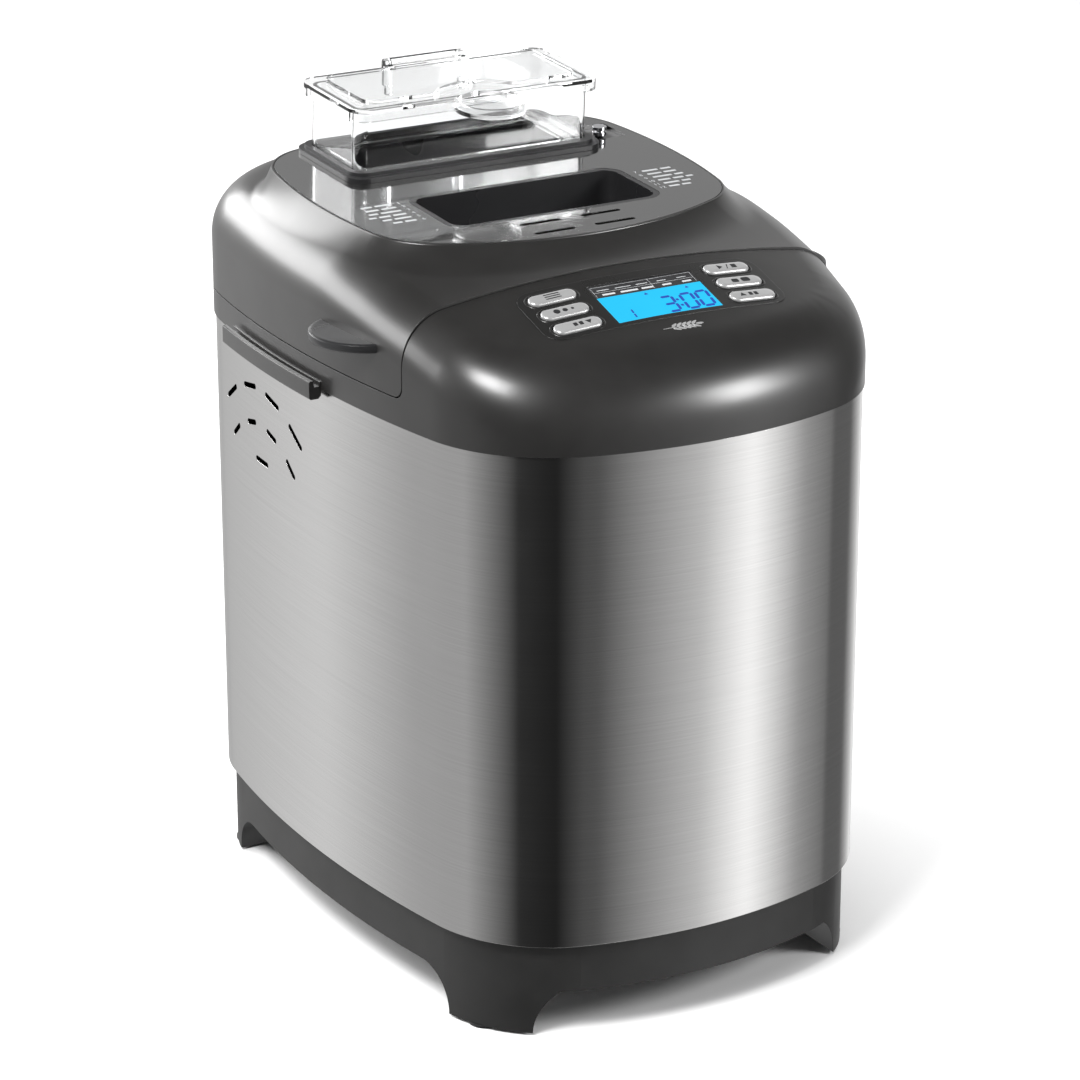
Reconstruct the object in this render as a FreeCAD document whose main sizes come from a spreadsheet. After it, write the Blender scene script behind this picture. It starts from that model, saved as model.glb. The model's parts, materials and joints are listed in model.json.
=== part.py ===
import FreeCAD, Part
import Sketcher
import math
import os
import re

# Domestic bread machine, millimetres, +Z up, front faces -Y.
# Origin: on the resting plane, under the middle of the body.

Vector = FreeCAD.Vector
Rotation = FreeCAD.Rotation
Placement = FreeCAD.Placement

# ---------------------------------------------------------------- driving dimensions
SIZES = {
    # plan outline of the moulded housing: a rounded rectangle with bowed sides
    "body_half_width": 126.0,
    "body_half_depth": 176.3,
    "body_corner": 71.3,
    "front_bow": 7.2,
    "side_bow": 8.1,
    "back_bow": 7.5,
    "wall": 2.5,
    # heights of the outer shells
    "pad_height": 1.5,
    "arch_top": 23.5,
    "steel_bottom": 48.5,
    "steel_top": 295.0,
    "steel_inset": 1.0,
    "steel_thick": 0.8,
    "base_inset": 4.7,
    "seam_height": 308.3,
    "seam_depth": 88.0,
    "seam_gap": 0.6,
    "nose_radius": 44.6,
    "shoulder_radius": 27.8,
    # control panel plane: a point on it, its pitch and its crown
    "panel_y": -120.1,
    "panel_z": 346.4,
    "panel_pitch": 17.4,
    "crown_radius": 700.0,
    # raised top of the lid
    "top_half_width": 102.5,
    "top_front": 63.1,
    "top_back": 120.4,
    "top_corner": 38.2,
    "top_height": 369.8,
    "top_pitch": 3.6,
    "top_panel_thick": 2.2,
    # viewing window
    "window_half_width": 57.0,
    "window_front": -27.3,
    "window_back": 17.8,
    # baking chamber and pan
    "oven_y": 30.0,
    "oven_half_width": 88.0,
    "oven_half_depth": 94.0,
    "oven_floor": 72.0,
    "oven_corner": 20.0,
    "sheet": 0.8,
    "pan_floor": 90.0,
    "pan_rim": 256.0,
    "pan_half_width": 70.0,
    "pan_half_depth": 84.0,
    "pan_wall": 1.8,
    "bail_z": 260.0,
    "bail_reach": 62.0,
    "bail_wire": 5.0,
    # drive
    "chassis_z": 54.0,
    "chassis_thick": 2.0,
    "shaft_radius": 4.0,
    "running_gap": 0.05,
    "pulley_z": 34.0,
    "pulley_width": 12.0,
    "large_pulley_radius": 50.0,
    "small_pulley_radius": 9.0,
    "motor_x": 46.0,
    "motor_y": -122.0,
    "motor_radius": 36.0,
    "motor_height": 72.0,
    # buttons
    "button_length": 25.0,
    "button_width": 8.0,
    "button_x": 48.0,
    "button_height": 7.0,
    # ingredient dispenser, in the tilted frame of the lid's top
    "box_half_width": 66.5,
    "box_front": 55.5,
    "box_back": 107.0,
    "box_wall": 2.0,
    "box_height": 33.5,
    "cap_half_width": 70.3,
    "cap_front": 50.0,
    "cap_back": 112.0,
    "cap_top": 36.5,
    "cap_hinge_y": 110.0,
    "cap_hinge_z": 39.0,
    # lid hinge at the rear
    "hinge_y": 171.5,
    "hinge_z": 315.0,
    "hinge_barrel": 4.5,
    "hinge_pin": 1.5,
}

# ---------------------------------------------------------------- fixed places
# base: cord gland (x, z), then (x, y) of the bosses, cover screws and feet
GLAND_X, GLAND_Z = 40.0, 72.0
CHASSIS_BOSSES = [(-86, -112), (86, -112), (-86, 112), (86, 112)]
COVER_SCREWS = [(-66, -145), (66, -145), (-66, 93), (66, 93)]
FOOT_CENTRES = [(-98, -125), (98, -125), (-98, 125), (98, 125)]
# panel frame: key rows, the display's (x0, y0, x1, y1), the underside of the board
BUTTON_ROWS = {"upper": 18.45, "middle": 6.26, "lower": -5.9}
DISPLAY = (-28.5, -10.8, 28.5, 20.5)
BOARD_W = -15.6
# the lid's crowned surface: (y, height at the shoulder, height in the middle)
LID_STATIONS = [(-200, 333.0, 342.0), (-88, 348.6, 357.3), (-42, 357.2, 364.5),
                (-10, 360.8, 367.0), (60, 361.0, 367.5), (200, 358.5, 365.0)]
SHOULDER_X = 111.0
# lid: height of the liner's roof, the chute's (x0, y0, x1, y1), flap axle, catch
LINER_ROOF = 333.0
CHUTE = (-58.4, 64.4, 58.4, 101.6)
FLAP_Y, FLAP_Z = 98.0, 335.6
CATCH_SPOT = (79.5, 66.0)
# oven: heater, and the height of the sensor and the fuse
ELEMENT_Z, ELEMENT_RADIUS, SENSOR_Z = 99.0, 3.3, 170.0
# kneading blade: outline as (reach from the axis, height above the hub's foot)
BLADE = [(0, 0.3), (44, 0.3), (47, 6), (40, 26), (24, 31), (0, 20)]

document = FreeCAD.newDocument("BreadMachine")
sheet = document.addObject("Spreadsheet::Sheet", "Sizes")
for row, (alias, number) in enumerate(SIZES.items(), 1):
    sheet.set("A%d" % row, alias.replace("_", " "))
    sheet.set("B%d" % row, str(number))
    sheet.setAlias("B%d" % row, alias)
document.recompute()

sub_parts = {}


def size(alias):
    """Return one driving dimension from the sheet."""
    return float(sheet.get(alias))


def formula(text):
    """Turn 'pan_rim - 4' into an expression that reads the sheet."""
    def cell(match):
        word = match.group(0)
        return "Sizes." + word if word in SIZES else word
    return re.sub(r"[a-z_][a-z_0-9]*", cell, str(text))


def number(text):
    """Evaluate a formula now, for the places where a plain number is needed."""
    return float(sheet.evalExpression(formula(text)))


def bind(item, **formulas):
    """Bind properties to formulas; Base_x stands for Placement.Base.x."""
    for name, text in formulas.items():
        item.setExpression(name.replace("Base_", "Placement.Base."), formula(text))
    return item


def place(item, at=(0, 0, 0), axis=None, angle=0):
    """Give an object its place: three formulas and an optional turn."""
    if axis:
        item.Placement = Placement(Vector(), Rotation(axis, angle))
    return bind(item, Base_x=at[0], Base_y=at[1], Base_z=at[2])


def keep(label, item):
    """Register an object as the sub-part that carries this label."""
    item.Label = label
    sub_parts[label] = item
    return item


# ---------------------------------------------------------------- primitives
X_AXIS, Y_AXIS, Z_AXIS = Vector(1, 0, 0), Vector(0, 1, 0), Vector(0, 0, 1)


def block(name, length, width, height, at, centred=True):
    """Part::Box; centred in X and Y about the place unless told otherwise."""
    item = document.addObject("Part::Box", name)
    bind(item, Length=length, Width=width, Height=height)
    if centred:
        at = ("%s - (%s)/2" % (at[0], length), "%s - (%s)/2" % (at[1], width), at[2])
    return place(item, at)


def rod(name, radius, height, at, along="z"):
    """Part::Cylinder that starts at the place and runs along an axis."""
    item = document.addObject("Part::Cylinder", name)
    bind(item, Radius=radius, Height=height)
    turns = {"z": (None, 0), "x": (Y_AXIS, 90), "y": (X_AXIS, -90), "-z": (X_AXIS, 180)}
    return place(item, at, *turns[along])


def cut(name, base, *tools):
    """Base minus every tool."""
    tool = tools[0] if len(tools) == 1 else fuse(name + "Tools", *tools)
    item = document.addObject("Part::Cut", name)
    item.Base, item.Tool = base, tool
    return item


def fuse(name, *members):
    """Union of the members; separate members stay separate solids."""
    item = document.addObject("Part::MultiFuse", name)
    item.Shapes = list(members)
    return item


def fixed(name, shape):
    """Part::Feature for a freeform shape made below."""
    item = document.addObject("Part::Feature", name)
    item.Shape = shape
    return item


# ---------------------------------------------------------------- sketched bodies
def origin_plane(body, role):
    return next(f for f in body.Origin.OriginFeatures if f.Role == role)


def new_sketch(body, role="XY_Plane"):
    drawing = body.newObject("Sketcher::SketchObject", body.Name + "Sketch")
    drawing.AttachmentSupport = [(origin_plane(body, role), "")]
    drawing.MapMode = "FlatFace"
    return drawing


def dimension(drawing, kind, geometry, end, text):
    """Locate one end of a line from the sketch origin, or put it on an axis."""
    value = number(text)
    if abs(value) < 1e-9:
        axis = -2 if kind == "DistanceX" else -1
        drawing.addConstraint(Sketcher.Constraint("PointOnObject", geometry, end, axis))
        return
    index = drawing.addConstraint(Sketcher.Constraint(kind, -1, 1, geometry, end, value))
    drawing.setExpression("Constraints[%d]" % index, formula(text))


def draw_polygon(drawing, corners):
    """Closed polygon whose corners are pairs of formulas."""
    points = [Vector(number(u), number(v), 0) for u, v in corners]
    count = len(points)
    for i in range(count):
        drawing.addGeometry(Part.LineSegment(points[i], points[(i + 1) % count]), False)
    for i in range(count):
        drawing.addConstraint(Sketcher.Constraint("Coincident", i, 2, (i + 1) % count, 1))
    for i, (u, v) in enumerate(corners):
        dimension(drawing, "DistanceX", i, 1, u)
        dimension(drawing, "DistanceY", i, 1, v)


def draw_circle(drawing, radius):
    """Circle about the sketch origin."""
    index = drawing.addGeometry(Part.Circle(Vector(), Z_AXIS, number(radius)), False)
    drawing.addConstraint(Sketcher.Constraint("Coincident", index, 3, -1, 1))
    last = drawing.addConstraint(Sketcher.Constraint("Radius", index, number(radius)))
    drawing.setExpression("Constraints[%d]" % last, formula(radius))


def pad(body, drawing, length):
    feature = body.newObject("PartDesign::Pad", body.Name + "Pad")
    feature.Profile = drawing
    bind(feature, Length=length)
    return feature


def prism(name, corners, length, role="XY_Plane", at=(0, 0, 0)):
    """PartDesign body: a padded polygon."""
    body = document.addObject("PartDesign::Body", name)
    drawing = new_sketch(body, role)
    draw_polygon(drawing, corners)
    pad(body, drawing, length)
    return place(body, at)


def rectangle(width, depth):
    """Corners of a rectangle about the origin."""
    w, d = "(%s)/2" % width, "(%s)/2" % depth
    return [("-" + w, "-" + d), (w, "-" + d), (w, d), ("-" + w, d)]


def plate(name, width, depth, thick, corner, at=(0, 0, 0)):
    """PartDesign body: a padded rectangle with rounded upright edges."""
    body = prism(name, rectangle(width, depth), thick, at=at)
    document.recompute()
    base = body.Tip
    upright = [
        "Edge%d" % i
        for i, edge in enumerate(base.Shape.Edges, 1)
        if abs(edge.tangentAt(edge.FirstParameter).z) > 0.99
    ]
    rounding = body.newObject("PartDesign::Fillet", name + "Corners")
    rounding.Base = (base, upright)
    bind(rounding, Radius=corner)
    return body


def ring(name, outer, inner, height, at=(0, 0, 0)):
    """PartDesign body: a padded pair of circles, or a disc with no inner one."""
    body = document.addObject("PartDesign::Body", name)
    drawing = new_sketch(body)
    draw_circle(drawing, outer)
    if inner:
        draw_circle(drawing, inner)
    pad(body, drawing, height)
    return place(body, at)


def turned(name, corners, at=(0, 0, 0)):
    """PartDesign body: a polygon of (radius, height) turned about Z."""
    body = document.addObject("PartDesign::Body", name)
    drawing = new_sketch(body, "XZ_Plane")
    draw_polygon(drawing, corners)
    feature = body.newObject("PartDesign::Revolution", name + "Turn")
    feature.Profile = drawing
    feature.ReferenceAxis = (drawing, ["V_Axis"])
    feature.Angle = 360
    return place(body, at)


def swept(name, points, corner_radii, radius):
    """Round bar of one radius along straight runs with rounded corners."""
    edges, start = [], points[0]
    for i, bend in enumerate(corner_radii, 1):
        here = points[i]
        back = (points[i - 1] - here).normalize()
        ahead = (points[i + 1] - here).normalize()
        half = back.getAngle(ahead) / 2
        trim = bend / math.tan(half)
        middle = (back + ahead).normalize()
        centre = here + middle * (bend / math.sin(half))
        first, last = here + back * trim, here + ahead * trim
        edges.append(Part.LineSegment(start, first).toShape())
        edges.append(Part.Arc(first, centre - middle * bend, last).toShape())
        start = last
    edges.append(Part.LineSegment(start, points[-1]).toShape())
    path = Part.Wire(edges)
    direction = (points[1] - points[0]).normalize()
    section = Part.Wire(Part.Circle(points[0], direction, radius).toShape())
    return fixed(name, path.makePipeShell([section], True, False))


# ---------------------------------------------------------------- freeform outlines
def bowed_wire(half_width, front, back, bows, corner, height=0.0):
    """Rounded rectangle with four bowed sides, as eight tangent arcs.

    The four side arcs are drawn between the corner centres and offset
    outwards by the corner radius, so every joint is tangent.
    """
    front_bow, side_bow, back_bow = bows
    core_x = half_width - corner - side_bow
    core_front = -(front - corner - front_bow)
    core_back = back - corner - back_bow
    centres = [(-core_x, core_front), (core_x, core_front), (core_x, core_back), (-core_x, core_back)]
    sags = [front_bow, side_bow, back_bow, side_bow]
    sides = []
    for i in range(4):
        x0, y0 = centres[i]
        x1, y1 = centres[(i + 1) % 4]
        chord = math.hypot(x1 - x0, y1 - y0)
        normal = ((y1 - y0) / chord, -(x1 - x0) / chord)
        radius = (chord * chord / 4 + sags[i] ** 2) / (2 * sags[i])
        depth = radius - sags[i]
        centre = ((x0 + x1) / 2 - normal[0] * depth, (y0 + y1) / 2 - normal[1] * depth)
        reach = radius + corner
        ends = []
        for x, y in (centres[i], centres[(i + 1) % 4]):
            ends.append(Vector(centre[0] + (x - centre[0]) / radius * reach,
                               centre[1] + (y - centre[1]) / radius * reach, height))
        crest = Vector(centre[0] + normal[0] * reach, centre[1] + normal[1] * reach, height)
        sides.append((ends[0], crest, ends[1]))
    edges = []
    for i in range(4):
        start, crest, end = sides[i]
        edges.append(Part.Arc(start, crest, end).toShape())
        following = sides[(i + 1) % 4][0]
        pivot = Vector(*centres[(i + 1) % 4], height)
        outward = ((end - pivot) + (following - pivot)).normalize()
        edges.append(Part.Arc(end, pivot + outward * corner, following).toShape())
    return Part.Wire(edges)


def body_wire(inset, height=0.0):
    """Plan outline of the body, moved inwards by inset."""
    return bowed_wire(size("body_half_width") - inset, size("body_half_depth") - inset,
                      size("body_half_depth") - inset,
                      (size("front_bow"), size("side_bow"), size("back_bow")),
                      size("body_corner") - inset, height)


def body_prism(inset, low, high):
    """Upright solid on the body's outline."""
    return Part.Face(body_wire(inset, low)).extrude(Vector(0, 0, high - low))


def solid_box(x0, y0, z0, x1, y1, z1):
    return Part.makeBox(x1 - x0, y1 - y0, z1 - z0, Vector(x0, y0, z0))


def rounded_box(x0, y0, z0, x1, y1, z1, corner):
    """Box with rounded upright edges."""
    shape = solid_box(x0, y0, z0, x1, y1, z1)
    upright = [e for e in shape.Edges if abs(e.tangentAt(e.FirstParameter).z) > 0.99]
    return shape.makeFillet(corner, upright)


def fillet_edges(name, shape, radii):
    """Part::Fillet with its own pair of radii on each edge number."""
    base = fixed(name + "Blank", shape.Solids[0])
    item = document.addObject("Part::Fillet", name)
    item.Base = base
    item.Edges = radii
    document.recompute()
    return item.Shape


def upper_face(shape):
    """The face whose centre is highest and which faces upwards."""
    facing = [f for f in shape.Faces if f.normalAt(*middle_of(f)).z > 0.5]
    return max(facing, key=lambda f: f.CenterOfMass.z)


def middle_of(face):
    u0, u1, v0, v1 = face.ParameterRange
    return (u0 + u1) / 2, (v0 + v1) / 2


panel_point = Vector(0, size("panel_y"), size("panel_z"))
panel_turn = Rotation(X_AXIS, size("panel_pitch"))
panel_frame = Placement(panel_point, panel_turn)
top_turn = Rotation(X_AXIS, size("top_pitch"))
top_frame = Placement(Vector(0, 0, size("top_height")), top_turn)


def crown_drop(x):
    """Height lost on the crowned control panel at a distance from its middle."""
    return size("crown_radius") - math.sqrt(size("crown_radius") ** 2 - x * x)


def crown_solid(offset):
    """Everything under the crowned control panel surface raised by offset."""
    reach = 1200.0
    radius = size("crown_radius") + offset
    foot = Vector(0, -reach / 2, -size("crown_radius"))
    shape = Part.makeCylinder(radius, reach, foot, Y_AXIS)
    shape.rotate(foot, Y_AXIS, 180)
    return shape.transformed(panel_frame.toMatrix())


def housing_form(inset):
    """Outer form of the fixed top moulding: crowned slope and rounded nose."""
    blank = body_prism(inset, size("steel_top") - 80, 450.0).common(crown_solid(-inset))
    top = upper_face(blank)
    nose, shoulder = size("nose_radius") - inset, size("shoulder_radius") - inset
    radii = []
    for i, edge in enumerate(blank.Edges, 1):
        if not any(edge.isSame(other) for other in top.OuterWire.Edges):
            continue
        pair = [nose if v.Y < -140 and abs(v.X) < 70 else shoulder for v in
                (edge.Vertexes[0], edge.Vertexes[-1])]
        radii.append((i, pair[0], pair[1]))
    form = fillet_edges("HousingForm%d" % round(inset * 10), blank, radii)
    return form.common(solid_box(-200, -200, size("steel_top"), 200, 200, 480))


def seam_zone(inset, floor=None):
    """Room taken by the lid: behind the seam and above the rail, corner rounded."""
    y = -size("seam_depth") + inset
    z = size("seam_height") + inset if floor is None else floor
    shape = solid_box(-200, y, z, 200, 300, 500)
    corner = [e for e in shape.Edges
              if abs(e.CenterOfMass.y - y) < 1e-6 and abs(e.CenterOfMass.z - z) < 1e-6]
    return shape.makeFillet(6.0, corner)


def lid_form(inset, top_drop):
    """Outer form of the lid: crowned shell with the raised top standing on it."""
    sections = []
    half = 160.0
    for y, shoulder, middle in LID_STATIONS:
        fall = (middle - shoulder) * (half / SHOULDER_X) ** 2
        left, right = Vector(-half, y, middle - fall - inset), Vector(half, y, middle - fall - inset)
        arc = Part.Arc(left, Vector(0, y, middle - inset), right).toShape()
        high_right, high_left = Vector(half, y, 480), Vector(-half, y, 480)
        sections.append(Part.Wire([arc, Part.LineSegment(right, high_right).toShape(),
                                   Part.LineSegment(high_right, high_left).toShape(),
                                   Part.LineSegment(high_left, left).toShape()]))
    above = Part.makeLoft(sections, True, False)
    blank = body_prism(inset, size("seam_height") - 60, 420.0).cut(above)
    top = upper_face(blank)
    shoulder = size("shoulder_radius") - inset
    radii = [(i, shoulder, shoulder) for i, edge in enumerate(blank.Edges, 1)
             if any(edge.isSame(other) for other in top.OuterWire.Edges)]
    shell = fillet_edges("LidForm%d" % round(inset * 10), blank, radii)
    return shell.fuse(raised_top(inset, top_drop))


def top_wire(inset, height):
    """Outline of the raised top, in its own tilted plane."""
    return bowed_wire(size("top_half_width") - inset, size("top_front") - inset,
                      size("top_back") - inset, (13.6, 3.7, 7.1), size("top_corner") - inset, height)


def raised_top(inset, drop):
    """Tapered block under the lid's top panel, in the row frame."""
    flare, skirt = 7.0, 26.0
    upper = top_wire(inset, -drop)
    lower = top_wire(inset - flare, -skirt)
    shape = Part.makeLoft([lower, upper], True, True)
    shape.Placement = top_frame
    return shape


def tilted(shape):
    """Move a shape from the lid top's own frame to the row frame."""
    shape.Placement = top_frame
    return shape


def on_panel(shape):
    """Move a shape from the control panel's own frame to the row frame."""
    shape.Placement = panel_frame
    return shape


# ---------------------------------------------------------------- outer shells
def make_base_housing():
    """Moulded base with four corner feet and an arch between each pair."""
    inset, skin = size("base_inset"), 3.0
    low, high = size("pad_height"), size("steel_bottom")
    outer = body_prism(inset, low, high).fuse(body_prism(size("steel_inset") + 1.0, high, high + 8))
    # everything between the feet is cut away up to the arch
    arch = size("arch_top")

    def arch_tool(foot, crown, along_x):
        """S-shaped sides: concave at the skirt, upright at the foot."""
        def at(u, z):
            return Vector(-300, u, z) if along_x else Vector(u, -300, z)
        left = [at(-foot, -1), at(-foot + 1.5, arch * 0.45), at(-crown, arch)]
        right = [at(foot, -1), at(foot - 1.5, arch * 0.45), at(crown, arch)]
        face = Part.Face(Part.Wire([
            Part.Arc(*left).toShape(),
            Part.LineSegment(left[2], right[2]).toShape(),
            Part.Arc(*reversed(right)).toShape(),
            Part.LineSegment(right[0], left[0]).toShape()]))
        return face.extrude(Vector(600, 0, 0) if along_x else Vector(0, 600, 0))

    body = outer.cut(arch_tool(87, 76, False)).cut(arch_tool(112, 90, True))
    floor = arch + skin
    hollow = body_prism(inset + skin, floor, high + 9)
    hollow = hollow.fuse(rounded_box(-69, -148, 0, 69, 96, high, 30.0))
    gland = Part.makeCylinder(6.0, 40, Vector(GLAND_X, 150, GLAND_Z), Y_AXIS)
    shape = body.cut(hollow).cut(gland)
    # tall bosses carry the chassis, short ones take the cover's screws
    top = size("chassis_z")
    for x, y in CHASSIS_BOSSES:
        boss = Part.makeCylinder(6.0, top - arch, Vector(x, y, arch))
        shape = shape.fuse(boss)
    for x, y in COVER_SCREWS:
        shape = shape.fuse(Part.makeCylinder(5.0, 16, Vector(x, y, arch)))
        shape = shape.cut(Part.makeCylinder(1.6, 15, Vector(x, y, arch)))
    return shape


def make_steel_wrap():
    """Stainless wrap with a fan of vent slots on both sides."""
    inset, thick = size("steel_inset"), size("steel_thick")
    low, high = size("steel_bottom"), size("steel_top")
    shape = body_prism(inset, low, high).cut(body_prism(inset + thick, low - 1, high + 1))
    shape = shape.cut(Part.makeCylinder(6.0, 40, Vector(GLAND_X, 150, GLAND_Z), Y_AXIS))
    centre_y, centre_z, slot = 53.7, 199.1, 2.8
    # each ring of the fan: (radius, slot length, angles from upright)
    rings = [(75.0, 16.7, (-33, -11, 11, 33)), (56.5, 12.0, (-38, -13, 13, 38)), (38.0, 15.7, (0,))]
    reach = 150.0
    for radius, length, angles in rings:
        for angle in angles:
            lean = math.radians(angle)
            outwards = Vector(0, math.sin(lean), math.cos(lean))
            sideways = Vector(0, math.cos(lean), -math.sin(lean))
            tool = rounded_box(-length / 2, -slot / 2, -reach, length / 2, slot / 2, reach,
                               slot / 2 - 0.05)
            turn = Rotation(sideways, Vector(), X_AXIS, "ZXY")
            spot = Vector(0, centre_y, centre_z) + outwards * radius
            shape = shape.cut(tool.transformed(Placement(spot, turn).toMatrix()))
    return shape


def capsule(length, width, low, high, grow=0.0):
    """Upright solid with a stadium outline, about the origin."""
    return rounded_box(-length / 2 - grow, -width / 2 - grow, low,
                       length / 2 + grow, width / 2 + grow, high, width / 2 + grow - 0.02)


def button_places():
    """Name and panel-frame placement of the six keys, square to the crown."""
    x = size("button_x")
    lean = math.degrees(math.asin(x / size("crown_radius")))
    for side, sign in (("left", -1), ("right", 1)):
        for row, v in BUTTON_ROWS.items():
            spot = Vector(sign * x, v, -crown_drop(x))
            yield "button_%s_%s" % (side, row), Placement(spot, Rotation(Y_AXIS, sign * lean))


def make_upper_housing():
    """Fixed top moulding: rails, deck round the oven, nose with the controls."""
    wall = size("wall")
    solid = housing_form(0).cut(seam_zone(0))
    inner = housing_form(wall).cut(seam_zone(-wall))
    shape = solid.cut(inner)
    half, depth, y = size("oven_half_width"), size("oven_half_depth"), size("oven_y")
    shape = shape.cut(rounded_box(-half, y - depth, 296, half, y + depth, 312, size("oven_corner")))
    # holes for the display and the six keys
    x0, y0, x1, y1 = DISPLAY
    shape = shape.cut(on_panel(solid_box(x0 - 0.2, y0 - 0.2, -12, x1 + 0.2, y1 + 0.2, 6)))
    for _, spot in button_places():
        hole = capsule(size("button_length"), size("button_width"), -12, 6, 0.35)
        shape = shape.cut(hole.transformed((panel_frame * spot).toMatrix()))
    # hinge ears at the rear, two to a side
    ear_y, ear_z, barrel = size("hinge_y"), size("hinge_z"), size("hinge_barrel")
    for low, high in ((24.0, 30.0), (44.0, 50.0)):
        for x in (low, -high):
            ear = Part.makeCylinder(barrel, high - low, Vector(x, ear_y, ear_z), X_AXIS)
            web = solid_box(x, ear_y - barrel, size("seam_height") - wall, x + high - low,
                            ear_y + barrel, ear_z)
            bore = Part.makeCylinder(size("hinge_pin"), high - low, Vector(x, ear_y, ear_z), X_AXIS)
            shape = shape.fuse(ear.fuse(web)).cut(bore)
    return shape


def make_lid_shell():
    """Lid shell: crowned sides, raised top with openings, finger tabs, knuckles."""
    wall, recess = size("wall"), size("top_panel_thick")
    gap = size("seam_gap")
    outer = lid_form(0, 0.0).common(seam_zone(gap))
    room = solid_box(-200, -size("seam_depth") + gap + wall, 250, 200, 300, 500)
    inner = lid_form(wall, wall + recess).common(room)
    # half-moon finger tabs on both sides
    tab_radius, tab_y, reach, top = 27.5, -42.0, 141.7, 330.6
    for sign in (-1, 1):
        tab = Part.makeCylinder(tab_radius, 4.6, Vector(sign * (reach - tab_radius), tab_y, top - 4.6))
        outer = outer.fuse(tab)
    shape = outer.cut(inner)
    # recess for the top panel, then the openings through the top
    pocket = Part.Face(top_wire(1.2, -recess)).extrude(Vector(0, 0, recess + 5))
    shape = shape.cut(tilted(pocket))
    shape = shape.cut(window_tube(3.2))
    shape = shape.cut(chute_tube(1.8))
    shape = shape.cut(tilted(Part.makeCylinder(2.7, 20, Vector(*CATCH_SPOT, -15))))
    # rear relief and notches for the hinge ears, then the lid's own knuckles
    hinge_y, hinge_z, barrel = size("hinge_y"), size("hinge_z"), size("hinge_barrel")
    shape = shape.cut(solid_box(-200, 165, 300, 200, 190, 311.0))
    for sign in (-1, 1):
        x0, x1 = sorted((sign * 23.4, sign * 50.6))
        shape = shape.cut(solid_box(x0, 158, 300, x1, 190, 322.0))
        k0, k1 = sorted((sign * 30.4, sign * 43.6))
        knuckle = Part.makeCylinder(barrel, k1 - k0, Vector(k0, hinge_y, hinge_z), X_AXIS)
        web = solid_box(k0, 163.0, hinge_z - 1, k1, 170.5, 328.0)
        bore = Part.makeCylinder(size("hinge_pin") + size("running_gap"), k1 - k0,
                                 Vector(k0, hinge_y, hinge_z), X_AXIS)
        shape = shape.fuse(knuckle.fuse(web)).cut(bore)
    return shape


def window_tube(grow, low=320.0, high=400.0):
    half = size("window_half_width")
    return rounded_box(-half - grow, size("window_front") - grow, low, half + grow,
                       size("window_back") + grow, high, 7.0 + grow)


def chute_tube(grow, low=320.0, high=400.0):
    x0, y0, x1, y1 = CHUTE
    return rounded_box(x0 - grow, y0 - grow, low, x1 + grow, y1 + grow, high, 4.0 + grow)


def under_top(drop):
    """Half space under the lid's top plane lowered by drop."""
    return tilted(Part.makeBox(400, 400, 300, Vector(-200, -200, -300 - drop)))


def vent_slots(low, high):
    """Four steam slots ahead of the window, in the top's own frame."""
    tools = []
    for x0, x1 in ((-28.0, -5.5), (5.5, 28.0)):
        for y in (-38.5, -52.4):
            tools.append(rounded_box(x0, y - 1.5, low, x1, y + 1.5, high, 1.45))
    return tools


def make_lid_top_panel():
    """Smoked panel set into the raised top, with its openings."""
    thick = size("top_panel_thick")
    shape = Part.Face(top_wire(1.5, -thick)).extrude(Vector(0, 0, thick))
    for tool in vent_slots(-thick - 1, 1):
        shape = shape.cut(tool)
    shape = shape.cut(rounded_box(75.3, 61.6, -5, 93, 84, 5, 2.0))
    shape = tilted(shape)
    return shape.cut(window_tube(3.2)).cut(chute_tube(1.8))


def make_window_frame():
    """Deep moulded funnel between the top panel and the liner."""
    shape = window_tube(3.0, LINER_ROOF).cut(window_tube(0.0, LINER_ROOF - 1))
    return shape.common(under_top(0.1))


def make_lid_liner():
    """Pressed metal pan that closes the oven and holds the glass."""
    metal, half, wall = size("sheet"), 92.0, size("wall") + 0.1
    front, back, flange = -66.0, 128.0, 310.4
    dome = rounded_box(-half, front, flange - metal, half, back, LINER_ROOF, 22.0)
    inside = rounded_box(-half + metal, front + metal, flange - 2, half - metal, back - metal,
                         LINER_ROOF - metal, 21.2)
    rim = body_prism(wall, flange - metal, flange).common(solid_box(-200, -84, 300, 200, 165, 320))
    shape = dome.fuse(rim).cut(inside)
    shape = shape.cut(rounded_box(-52, -22.5, 325, 52, 13, 340, 6.0))
    return shape.cut(rounded_box(-58, 65, 325, 58, 101, 340, 3.5))


def make_lid_seal():
    """Soft ring under the liner flange, just clear of the deck."""
    low, high = size("seam_height") + 0.3, 309.6
    outer = rounded_box(-98, -72, low, 98, 134, high, 28.0)
    return outer.cut(rounded_box(-92.5, -66.5, low - 1, 92.5, 128.5, high + 1, 22.5))


def make_dispenser_gasket():
    """Stepped ring on the lid's top that the clear box drops into."""
    inner = rounded_box(-66.9, 55.1, -1, 66.9, 107.4, 9, 6.4)
    low = rounded_box(-72.5, 47.5, 0, 72.5, 113.2, 2.4, 10.0)
    high = rounded_box(-69.8, 50.8, 2.4, 69.8, 110.6, 4.3, 8.0)
    return tilted(low.fuse(high).cut(inner))


def make_dispenser_chute():
    """Upright walls that guide the ingredients past the flap."""
    shape = chute_tube(1.6, LINER_ROOF).cut(chute_tube(0.0, LINER_ROOF - 1))
    bore = Part.makeCylinder(1.55, 130, Vector(-65, FLAP_Y, FLAP_Z), X_AXIS)
    return shape.common(under_top(0.0)).cut(bore)


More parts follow.
